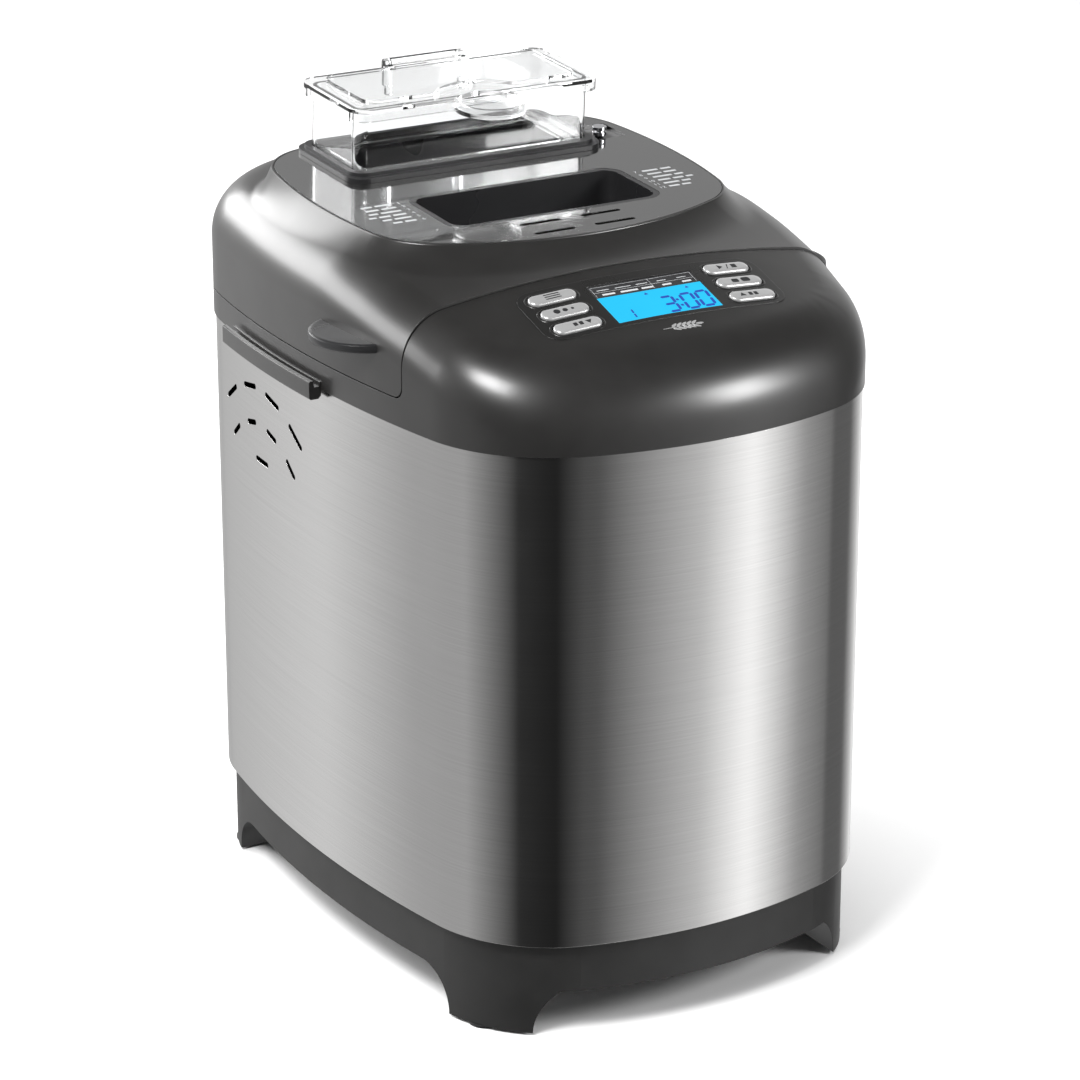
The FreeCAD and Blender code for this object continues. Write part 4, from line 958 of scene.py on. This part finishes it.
# ---------------------------------------------------------------- lid
@dataclass
class Lid:
    """Hinged lid: flared shell, finger tabs, knuckles, and the print on its top."""

    gap: float = 0.6 * MM
    rim: float = 1.2 * MM
    recess: float = 2.2 * MM
    flare_side: float = 11 * MM
    flare_front: float = 24 * MM
    hollow: float = 2.3
    catch_spot: Point = (79.5 * MM, 66 * MM)

    def flared(self, points: np.ndarray, heights: np.ndarray) -> np.ndarray:
        """Raise the surface in a hollow curve towards the edge of the raised top.

        Args:
            points: rows of x, y.
            heights: the surface's height over each point.

        Returns:
            The raised heights.
        """
        loop, normals = FORM.top.points()
        inwards, _, normal, _ = nearest(points, loop, normals)
        outwards = np.maximum(-inwards, 0)
        facing = np.clip(-normal[:, 1], 0, 1) ** 2
        width = self.flare_side + (self.flare_front - self.flare_side) * facing
        share = np.clip(1 - outwards / width, 0, 1) ** self.hollow
        return heights + np.maximum(FORM.top_plane(points) - 0.5 * MM - heights, 0) * share

    def solid(self, inset: float, floor: float, drop: float = 0.0) -> Mesh:
        """Make the lid's whole form without its cuts.

        Args:
            inset: how far it is moved in.
            floor: height of its underside.
            drop: how far its surface is lowered; at 0 the top gets its rim and the panel's recess.

        Returns:
            A closed mesh.
        """
        outline = FORM.outline.moved_in(inset)
        crown = Crown(outline, lambda p: FORM.lid_height(p) - inset, lambda a: FORM.lid_radius(a) - inset)
        inner, _ = FORM.top.moved_in(inset).points()

        def finish_height(points: np.ndarray, heights: np.ndarray) -> np.ndarray:
            """Return the flared and lowered heights."""
            return self.flared(points, heights) - drop

        rim, recess = self.rim, self.recess
        extra = []
        if not drop:
            for move, down in ((0.15 * MM, 0.15 * MM), (0.5 * MM, 0), (rim, 0), (rim, recess),
                               (9 * MM, recess)):
                ring, _ = FORM.top.moved_in(move).points()
                extra.append(level(ring, FORM.top_plane(ring) - down))
        return solid_form(crown, inner, floor, finish_height, extra, rows=72)

    def shell(self) -> Mesh:
        """Return the shell, cut to its seam and hollowed."""
        front, wall = -FORM.seam_depth + self.gap, FORM.wall
        outer = carved(self.solid(0, 250 * MM), zone_block(front, FORM.seam_height + self.gap), "INTERSECT")
        room = carved(self.solid(wall, 240 * MM, wall + self.recess), zone_block(front + wall, 200 * MM),
                      "INTERSECT")
        return carved(outer, room)

    def openings(self) -> Mesh:
        """Return the tools for the window, the chute and the catch."""
        window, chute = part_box("window_frame"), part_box("dispenser_chute")
        tools, room = [], 0.2 * MM
        for (low, high), corner in ((window, 10 * MM), (chute, 5.8 * MM)):
            hole = rounded_rectangle(low.x - room, low.y - room, high.x + room, high.y + room, corner)
            tools.append(slab(hole, 320 * MM, 420 * MM))
        well = turned_about_z([(2.8 * MM, -20 * MM), (2.8 * MM, -2.7 * MM), (4.2 * MM, -2.7 * MM),
                               (4.2 * MM, 5 * MM)])
        well.transform(FORM.top_frame @ Matrix.Translation((*self.catch_spot, 0)))
        return joined([*tools, well])

    def notches(self) -> Mesh:
        """Return the tools that clear the hinge ears."""
        tools = []
        for sign in (-1, 1):
            x0, x1 = sorted((sign * 23.4 * MM, sign * 50.6 * MM))
            tools.append(slab(rounded_rectangle(x0, 158 * MM, x1, 190 * MM, 1 * MM), 300 * MM, 322 * MM))
        return joined(tools)

    def knuckles(self) -> Mesh:
        """Return the lid's own hinge knuckles."""
        made = []
        turns = np.radians(np.linspace(-180, 90, 22))
        barrel, (y, z) = FORM.hinge_barrel, FORM.hinge_spot
        outline = [(y + barrel * math.cos(t), z + barrel * math.sin(t)) for t in turns]
        outline += [(y - 1 * MM, 328 * MM), (163 * MM, 328 * MM), (163 * MM, 314 * MM)]
        for sign in (-1, 1):
            rings = [np.array([(sign * x, *p) for p in outline]) for x in (30.4 * MM, 43.6 * MM)]
            made.append(bevelled(lofted(rings), 0.4 * MM, 2))
        return joined(made)

    def finger_tabs(self) -> Mesh:
        """Return the half-moon tabs on both sides of the shell."""
        radius, spot_y, thick = 27.5 * MM, -42 * MM, 4.6 * MM
        reach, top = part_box("lid_shell")[1].x, 330.6 * MM
        tabs = []
        for sign in (-1, 1):
            centre = sign * (reach - radius)
            sections = []
            turns = np.linspace(0, 2 * math.pi, 96, endpoint=False)
            for inset, z in ((1.6, -thick), (0.7, -thick + 0.35 * MM), (0.1, -thick + 1.2 * MM), (0, -2 * MM),
                             (0.2, -0.6 * MM), (0.9, -0.1 * MM), (2.2, 0), (3.4, -0.35 * MM)):
                r = radius - inset * MM
                ring = np.column_stack([centre + r * np.cos(turns), spot_y + r * np.sin(turns)])
                sections.append(level(ring, top + z))
            solid = lofted(sections)
            middle, half = sign * 60 * MM, 60 * MM
            inside = rounded_rectangle(middle - half, -80 * MM, middle + half, 0, 1 * MM)
            tabs.append(carved(solid, slab(inside, 300 * MM, 350 * MM)))
        return joined(tabs)

    def build(self) -> None:
        """Make the shell and its tabs."""
        shape = carved(carved(self.shell(), self.openings()), self.notches())
        piece("lid_shell_skin", joined([shape, self.knuckles()]), "housing_gloss", "lid", ["lid_shell"])
        piece("lid_finger_tabs", self.finger_tabs(), "inner_plastic", "lid")
        TopPrint().build()


@dataclass
class TopPrint:
    """Pale print on the lid's top: twelve numbered lines in two blocks."""

    pitch: float = 5.1 * MM
    text: float = 3.0 * MM
    lift: float = 0.06 * MM

    def digits(self, number: int, x: float, y: float) -> Mesh:
        """Write a number on the raised top.

        Args:
            number: the number.
            x: its middle, in the top's frame.
            y: its foot, in the top's frame.

        Returns:
            A flat mesh.
        """
        curve = bpy.data.curves.new("digits", "FONT")
        curve.body, curve.size, curve.align_x = str(number), self.text * 1.25, "CENTER"
        item = bpy.data.objects.new("digits", curve)
        mesh = bpy.data.meshes.new_from_object(item)
        bpy.data.objects.remove(item)
        mesh.transform(FORM.top_frame @ Matrix.Translation((x, y, self.lift)))
        return mesh

    def bar(self, x0: float, x1: float, y: float) -> Mesh:
        """Make one short bar that stands for a word.

        Args:
            x0: its left end, in the top's frame.
            x1: its right end.
            y: its lower edge.

        Returns:
            A thin slab.
        """
        mesh = slab(rounded_rectangle(x0, y, x1, y + self.text * 0.62, 0.45 * MM, 3), 0, self.lift)
        mesh.transform(FORM.top_frame)
        return mesh

    def build(self) -> None:
        """Make both blocks."""
        made = []
        words = ((6, 5), (9, 6), (8, 7), (11, 5), (7, 6, 4), (9, 5))
        for side, first, top in ((-1, 1, 14.0), (1, 7, 6.0)):
            for row in range(6):
                y = top * MM - row * self.pitch
                x = side * 65 * MM
                made.append(self.digits(first + row, x, y))
                x += side * 4 * MM
                for word in words[(row + first) % 6]:
                    far = x + side * word * MM
                    made.append(self.bar(min(x, far), max(x, far), y + 0.4 * MM))
                    x = far + side * 1.6 * MM
        piece("programme_list_print", joined(made), "print_pale", "lid")


# ---------------------------------------------------------------- controls
class Glyph(Enum):
    """Plain signs on the keys."""

    LINES = "list of programmes"
    SHADE = "crust shade"
    LOAF = "loaf size"
    DOWN = "less time"
    UP = "more time"
    START = "start or stop"


@dataclass
class ControlPanel:
    """Keys, wells, lit display and the mark on the crowned slope."""

    key_length: float = 25 * MM
    key_width: float = 8 * MM
    key_x: float = 48 * MM
    rows: tuple[float, float, float] = (18.45 * MM, 6.26 * MM, -5.9 * MM)
    display: tuple[float, float, float, float] = (-28.5 * MM, -10.8 * MM, 28.5 * MM, 20.5 * MM)
    lcd_top: float = 10.8 * MM
    proud: float = 1.6 * MM
    skin: float = 0.3 * MM
    sign_scale: float = 1.3

    def capsule(self, grow: float) -> np.ndarray:
        """Return a key's outline, grown outwards."""
        x, y = self.key_length / 2 + grow, self.key_width / 2 + grow
        return rounded_rectangle(-x, -y, x, y, y * 0.995, 12)

    def holes(self) -> Mesh:
        """Return the tools for the key wells and the display."""
        tools = []
        for side in (-1, 1):
            for v in self.rows:
                tools.append(in_panel(slab(self.capsule(0.75 * MM), -12 * MM, 6 * MM), side * self.key_x, v))
        x0, y0, x1, y1 = self.display
        tools.append(in_panel(slab(rounded_rectangle(x0, y0, x1, y1, 0.3 * MM, 2), -12 * MM, 6 * MM)))
        return joined(tools)

    def key(self) -> Mesh:
        """Return one keycap about the origin: domed capsule over a wide flange."""
        sections = []
        for grow, z in ((1.0, -5.4), (1.0, -4.2), (0, -4.1), (0, 0.2), (-0.15, 0.75), (-0.55, 1.2),
                        (-1.1, 1.45), (-1.9, 1.58), (-2.9, 1.6)):
            sections.append(level(self.capsule(grow * MM), z * MM))
        return lofted(sections)

    def well(self) -> Mesh:
        """Return the rounded collar that edges a key's well."""
        rings = [level(self.capsule(grow * MM), z * MM) for grow, z in (
            (0.45, -3.6), (0.45, 0.1), (0.6, 0.42), (0.95, 0.55), (1.35, 0.45), (1.75, 0.1), (1.75, -0.6),
            (0.8, -3.6))]
        return lofted(rings + rings[:1], caps=False)

    def signs(self, glyph: Glyph) -> list[np.ndarray]:
        """Draw a glyph.

        Args:
            glyph: which sign.

        Returns:
            Outlines of its flat shapes, in millimetres.
        """
        box = rounded_rectangle
        turns = np.linspace(0, 2 * math.pi, 24, endpoint=False)
        dot = np.column_stack([np.cos(turns), np.sin(turns)])
        triangle = np.array([(-1.3, -0.9), (1.3, -0.9), (0, 1.2)])
        if glyph is Glyph.LINES:
            return [box(-3.2, y, 3.2, y + 0.5, 0.2, 2) for y in (-1.5, -0.25, 1.0)]
        if glyph is Glyph.SHADE:
            return [dot * 1.3 + (-3.4, 0), dot * 1.0, dot * 0.6 + (3.0, 0)]
        if glyph is Glyph.LOAF:
            return [box(-3.6, -1.3, -0.6, 0.9, 0.7, 4), box(0.6, -1.3, 4.4, 1.3, 1.0, 4)]
        if glyph is Glyph.START:
            stroke = np.array([(-0.5, -1.4), (-0.1, -1.4), (0.9, 1.4), (0.5, 1.4)])
            return [triangle[:, ::-1] + (-3.0, 0), stroke, box(2.0, -1.1, 4.2, 1.1, 0.1, 2)]
        sign = -1 if glyph is Glyph.DOWN else 1
        return [triangle * (1, sign) + (-sign * 4.5, 0), box(-1.8, -1.0, -0.2, 1.0, 0.3, 2),
                box(0.5, -1.0, 2.1, 1.0, 0.3, 2)]

    def build_keys(self) -> None:
        """Make six keys with their signs and wells."""
        glyphs = {"left": (Glyph.LINES, Glyph.SHADE, Glyph.DOWN),
                  "right": (Glyph.START, Glyph.LOAF, Glyph.UP)}
        thin = 0.05 * MM
        wells = []
        for side, sign in (("left", -1), ("right", 1)):
            for name, v, glyph in zip(("upper", "middle", "lower"), self.rows, glyphs[side]):
                label = side + "_" + name
                piece("keycap_" + label, in_panel(self.key(), sign * self.key_x, v), "key_silver",
                      "key_" + label, ["button_" + label], smooth=50)
                flat = joined([slab(s * self.sign_scale * MM, self.proud - thin, self.proud + thin)
                               for s in self.signs(glyph)])
                piece("key_sign_" + label, in_panel(flat, sign * self.key_x, v), "print_dark", "key_" + label)
                wells.append(in_panel(self.well(), sign * self.key_x, v))
        piece("key_wells", joined(wells), "island_gloss", "housing")

    def crowned_sheet(self, outline: np.ndarray, low: float, high: float) -> Mesh:
        """Make a thin skin that follows the panel's crown.

        Args:
            outline: its edge, in the panel's frame.
            low: its underside, from the panel's surface.
            high: its upper side.

        Returns:
            A closed mesh.
        """
        centre = outline.mean(0)
        rings = []
        for z in (low, high):
            scales = (1.0, 0.985, 0.75, 0.5, 0.25, 0.02) if z == high else (1.0,)
            for scale in scales:
                spots = centre + (outline - centre) * scale
                drop = FORM.crown_drop(spots[:, 0])
                rings.append(level(spots, z - drop))
        mesh = lofted(rings)
        mesh.transform(FORM.panel_frame)
        return mesh

    def build_island(self) -> None:
        """Make the glossy island round the display and keys."""
        outline = rounded_rectangle(-66 * MM, -13.5 * MM, 66 * MM, 26.5 * MM, 9 * MM, 10)
        share = np.linspace(0, 1, 12, endpoint=False)[:, None]
        ahead = np.roll(outline, -1, axis=0)
        dense = np.concatenate([start + (end - start) * share for start, end in zip(outline, ahead)])
        sheet = carved(self.crowned_sheet(dense, -0.5 * MM, self.skin), self.holes())
        piece("panel_island", sheet, "island_gloss", "housing", ["panel_overlay"])

    def build_display(self) -> None:
        """Make the lit display, its figures and the strip of marks above it."""
        x0, y0, x1, y1 = self.display
        top, face, back = self.lcd_top, -0.45 * MM, -3 * MM
        lcd = slab(rounded_rectangle(x0, y0, x1, top, 0.2 * MM, 2), back, face)
        lcd.transform(FORM.panel_frame)
        piece("display_lit_face", lcd, "display_blue", "housing", ["display_window"])
        strip = slab(rounded_rectangle(x0, top, x1, y1, 0.2 * MM, 2), back, face)
        strip.transform(FORM.panel_frame)
        piece("display_strip", strip, "component_black", "housing")
        foot, small, tall = -8.6 * MM, 7 * MM, 12 * MM
        figures = [*self.figure("1", -21 * MM, foot, small), *self.figure("3", 0.8 * MM, foot, tall),
                   *self.colon(9.4 * MM, foot, tall), *self.figure("0", 11.4 * MM, foot, tall),
                   *self.figure("0", 19.8 * MM, foot, tall)]
        arrow = np.array([(-1.1, -0.8), (1.1, -0.8), (0, 0.9)]) * MM
        figures += [slab(arrow + (x * MM, 8.4 * MM), 0, 0.1 * MM) for x in (-3.0, 19.5)]
        inked = joined(figures, FORM.panel_frame @ Matrix.Translation((0, 0, face)))
        piece("display_figures", inked, "segment_ink", "housing")
        self.build_strip_marks(face)

    def build_strip_marks(self, face: float) -> None:
        """Make the fine frame lines and bars above the lit display.

        Args:
            face: height of the display's face in the panel's frame.
        """
        bars = []
        line = 0.18 * MM
        for x, width in ((-24, 7), (-14, 9.5), (-2.5, 6.5), (9, 5), (20, 5)):
            bars.append(rounded_rectangle(x * MM, 12.3 * MM, (x + width) * MM, 13.6 * MM, 0.3 * MM, 2))
            bars.append(rounded_rectangle((x - 1) * MM, 16.4 * MM, (x + width * 0.8) * MM, 16.9 * MM,
                                          0.1 * MM, 2))
        for y in (15, 19.3):
            bars.append(rounded_rectangle(-27.5 * MM, y * MM, 27.5 * MM, y * MM + line, line / 2.2, 2))
        for x in (-27.5, 4.0, 27.3):
            bars.append(rounded_rectangle(x * MM, 11.6 * MM, x * MM + line, 19.4 * MM, line / 2.2, 2))
        marks = joined([slab(b, 0, 0.08 * MM) for b in bars],
                       FORM.panel_frame @ Matrix.Translation((0, 0, face)))
        piece("display_strip_marks", marks, "print_pale", "housing")

    @staticmethod
    def figure(digit: str, x: float, y: float, height: float) -> list[Mesh]:
        """Make the lit bars of a seven-segment digit.

        Args:
            digit: the digit.
            x: its left side, in the panel's frame.
            y: its foot, in the panel's frame.
            height: its height.

        Returns:
            One slab for each lit bar.
        """
        lit = {"0": "abcdef", "1": "bc", "3": "abcdg"}[digit]
        thick, width, half, lean = height * 0.13, height * 0.50, height / 2, 0.08
        cut = thick * 0.65
        spans = {"a": (0, height, width, height), "g": (0, half, width, half), "d": (0, 0, width, 0),
                 "f": (0, half, 0, height), "b": (width, half, width, height),
                 "e": (0, 0, 0, half), "c": (width, 0, width, half)}
        bars = []
        for name in lit:
            xa, ya, xb, yb = spans[name]
            if ya == yb:
                outline = [(xa + cut, ya - thick / 2), (xb - cut, ya - thick / 2), (xb - cut / 3, ya),
                           (xb - cut, ya + thick / 2), (xa + cut, ya + thick / 2), (xa + cut / 3, ya)]
            else:
                outline = [(xa - thick / 2, ya + cut), (xa, ya + cut / 3), (xa + thick / 2, ya + cut),
                           (xa + thick / 2, yb - cut), (xa, yb - cut / 3), (xa - thick / 2, yb - cut)]
            moved = np.array([(x + px + py * lean, y + py) for px, py in outline])
            bars.append(slab(moved, 0, 0.1 * MM))
        return bars

    @staticmethod
    def colon(x: float, y: float, height: float) -> list[Mesh]:
        """Make the two square dots of a clock's colon.

        Args:
            x: their middle, in the panel's frame.
            y: the digits' foot.
            height: the digits' height.

        Returns:
            Two slabs.
        """
        side = height * 0.06
        return [slab(rounded_rectangle(x - side, y + height * s - side, x + side, y + height * s + side,
                                       side * 0.3, 2), 0, 0.1 * MM) for s in (0.3, 0.7)]

    def build_mark(self) -> None:
        """Make a plain wheat ear below the display."""
        turns = np.linspace(0, 2 * math.pi, 20, endpoint=False)
        grain = np.column_stack([2.0 * np.cos(turns), 0.75 * np.sin(turns) * (1 - 0.3 * np.cos(turns))])
        shapes = [rounded_rectangle(-11.0, -0.14, 6.0, 0.14, 0.12, 2), grain + (9.0, 0)]
        for i in range(5):
            for sign in (-1, 1):
                lean = math.radians(32 * sign)
                turn = np.array([[math.cos(lean), math.sin(lean)], [-math.sin(lean), math.cos(lean)]])
                shapes.append(grain @ turn + (-4.2 + i * 2.7, sign * 1.55))
        flat = joined([slab(s * MM, -0.3 * MM, 0.07 * MM) for s in shapes])
        piece("wheat_ear_mark", in_panel(flat, 0, -21.5 * MM), "key_silver", "housing")

    def build(self) -> None:
        """Make everything on the panel."""
        self.build_island()
        self.build_keys()
        self.build_display()
        self.build_mark()


# ---------------------------------------------------------------- carried parts
@dataclass
class CarriedParts:
    """Frame nodes whose shape is right: they keep it and get their finish."""

    smooth: float = 30.0

    def build(self) -> None:
        """Dress every node with the finish of its slot."""
        slots = {s["node"]: s["material_slot"] for s in frame["record"]["subparts"]}
        for name, item in frame["nodes"].items():
            item.data.materials.clear()
            item.data.materials.append(FINISHES[slots[name]].material())
            item.data.shade_smooth()
            item.data.set_sharp_from_angle(angle=math.radians(self.smooth))
        log.info("carried parts: %d dressed", len(frame["nodes"]))


# ---------------------------------------------------------------- studio
@dataclass(frozen=True)
class SoftBox:
    """A rectangular soft light that points at a spot."""

    name: str
    spot: Place
    aim: Place
    size: Point
    power: float

    def build(self) -> None:
        """Hang the light in the scene."""
        light = bpy.data.lights.new(self.name, "AREA")
        light.shape, light.energy = "RECTANGLE", self.power
        light.size, light.size_y = self.size
        item = in_scene(self.name, light)
        item.location = self.spot
        item.rotation_euler = (Vector(self.aim) - Vector(self.spot)).to_track_quat("-Z", "Y").to_euler()


@dataclass
class Studio:
    """Pale floor, soft lights, surrounding light and the camera."""

    camera_spot: Place = (-0.9699, -1.6550, 0.8936)
    camera_aim: Place = (0.47672, 0.80875, -0.34446)
    lens: float = 135.1
    sensor: float = 36.0
    floor_half: float = 6.0
    sun_power: float = 2.3
    sun_spread: float = 100.0
    sun_tilt: Point = (-12.0, -10.0)
    backdrop: float = 0.95
    boxes: tuple[SoftBox, ...] = (
        SoftBox("nose_left_box", (-1.03, -0.55, 1.56), (-0.1, -0.13, 0.33), (0.62, 0.5), 30),
        SoftBox("nose_right_box", (1.0, -1.26, 0.97), (0, -0.17, 0.3), (0.46, 0.46), 16),
        SoftBox("rear_left_box", (-0.95, 1.5, 0.95), (-0.12, 0, 0.35), (2.3, 0.75), 36))
    # brightness of the surroundings by compass angle, 0 towards -Y and positive towards +X: a pale
    # wall at the left, a dark gap left of the front, a bright strip right of it and a pale rear right
    horizon: tuple[Point, ...] = (
        (-180, 0.55), (-150, 0.9), (-135, 0.5), (-100, 0.5), (-75, 0.23), (-55, 0.03), (-25, 0.02), (0, 0.12),
        (28, 0.75), (43, 1.5), (60, 0.45), (75, 0.15), (100, 0.15), (130, 1.0), (145, 0.5), (180, 0.55))
    # the surroundings dim from 1 to the last value as a ray rises between the first two
    ceiling: tuple[float, float, float, float] = (0.44, 0.66, 1.0, 0.07)

    def floor(self) -> None:
        """Make the floor."""
        half = self.floor_half
        rings = [np.array([(x, -half, 0), (x, half, 0)]) for x in (-half, half)]
        mesh = lofted(rings, closed=False, caps=False)
        item = in_scene("floor", mesh)
        graph = Graph("floor_paper")
        tint = graph.mix(graph.remap(graph.noise(3), 0, 1), (0.92, 0.92, 0.92), (0.95, 0.95, 0.95))
        graph.tree.links.new(tint, graph.shader.inputs["Base Color"])
        graph.shader.inputs["Roughness"].default_value = 0.85
        mesh.materials.append(graph.material)
        item.visible_glossy = False

    def surroundings(self) -> None:
        """Light the scene from a pale studio with a dark gap and a bright strip."""
        world = bpy.data.worlds.new("studio")
        bpy.context.scene.world = world
        world.use_nodes = True
        tree = world.node_tree
        tree.nodes.clear()
        add = tree.nodes.new
        output, choose = add("ShaderNodeOutputWorld"), add("ShaderNodeMixShader")
        seen, lit = add("ShaderNodeBackground"), add("ShaderNodeBackground")
        split, angle = add("ShaderNodeSeparateXYZ"), add("ShaderNodeMath")
        spread, ramp = add("ShaderNodeMapRange"), add("ShaderNodeValToRGB")
        away = add("ShaderNodeMath")
        tree.links.new(add("ShaderNodeTexCoord").outputs["Generated"], split.inputs[0])
        away.operation, away.inputs[1].default_value = "MULTIPLY", -1.0
        tree.links.new(split.outputs["Y"], away.inputs[0])
        angle.operation = "ARCTAN2"
        tree.links.new(split.outputs["X"], angle.inputs[0])
        tree.links.new(away.outputs[0], angle.inputs[1])
        tree.links.new(angle.outputs[0], spread.inputs["Value"])
        spread.inputs["From Min"].default_value = -math.pi
        spread.inputs["From Max"].default_value = math.pi
        tree.links.new(spread.outputs["Result"], ramp.inputs["Fac"])
        stops = ramp.color_ramp.elements
        while len(stops) < len(self.horizon):
            stops.new(0.5)
        for stop, (degrees, value) in zip(stops, self.horizon):
            stop.position = (degrees + 180) / 360
            stop.color = (value, value, value, 1)
        tree.links.new(ramp.outputs["Color"], lit.inputs["Color"])
        ceiling = add("ShaderNodeMapRange")
        ceiling.interpolation_type = "SMOOTHSTEP"
        tree.links.new(split.outputs["Z"], ceiling.inputs["Value"])
        for name, amount in zip(("From Min", "From Max", "To Min", "To Max"), self.ceiling):
            ceiling.inputs[name].default_value = amount
        tree.links.new(ceiling.outputs["Result"], lit.inputs["Strength"])
        seen.inputs["Color"].default_value = (self.backdrop, self.backdrop, self.backdrop, 1)
        tree.links.new(add("ShaderNodeLightPath").outputs["Is Camera Ray"], choose.inputs["Fac"])
        tree.links.new(lit.outputs[0], choose.inputs[1])
        tree.links.new(seen.outputs[0], choose.inputs[2])
        tree.links.new(choose.outputs[0], output.inputs["Surface"])

    def overhead(self) -> None:
        """Add the broad light from above, kept out of reflections."""
        light = bpy.data.lights.new("overhead", "SUN")
        light.energy, light.angle = self.sun_power, math.radians(self.sun_spread)
        item = in_scene("overhead", light)
        item.rotation_euler = (*map(math.radians, self.sun_tilt), 0)
        item.visible_glossy = False

    def build(self) -> None:
        """Make the studio and its camera."""
        self.floor()
        self.surroundings()
        self.overhead()
        for box in self.boxes:
            box.build()
        bpy.context.scene.view_settings.view_transform = "Standard"
        data = bpy.data.cameras.new("camera")
        data.lens, data.sensor_width = self.lens, self.sensor
        camera = in_scene("camera", data)
        camera.location = self.camera_spot
        camera.rotation_euler = Vector(self.camera_aim).to_track_quat("-Z", "Y").to_euler()
        bpy.context.scene.camera = camera


def main() -> None:
    """Build every sub-assembly in order."""
    logging.basicConfig(level=logging.INFO, format="%(name)s %(message)s")
    Studio().build()
    CarriedParts().build()
    controls = ControlPanel()
    SteelWrap().build()
    UpperHousing().build(controls.holes())
    controls.build()
    CarryHandles().build()
    Lid().build()


if __name__ == "__main__":
    main()
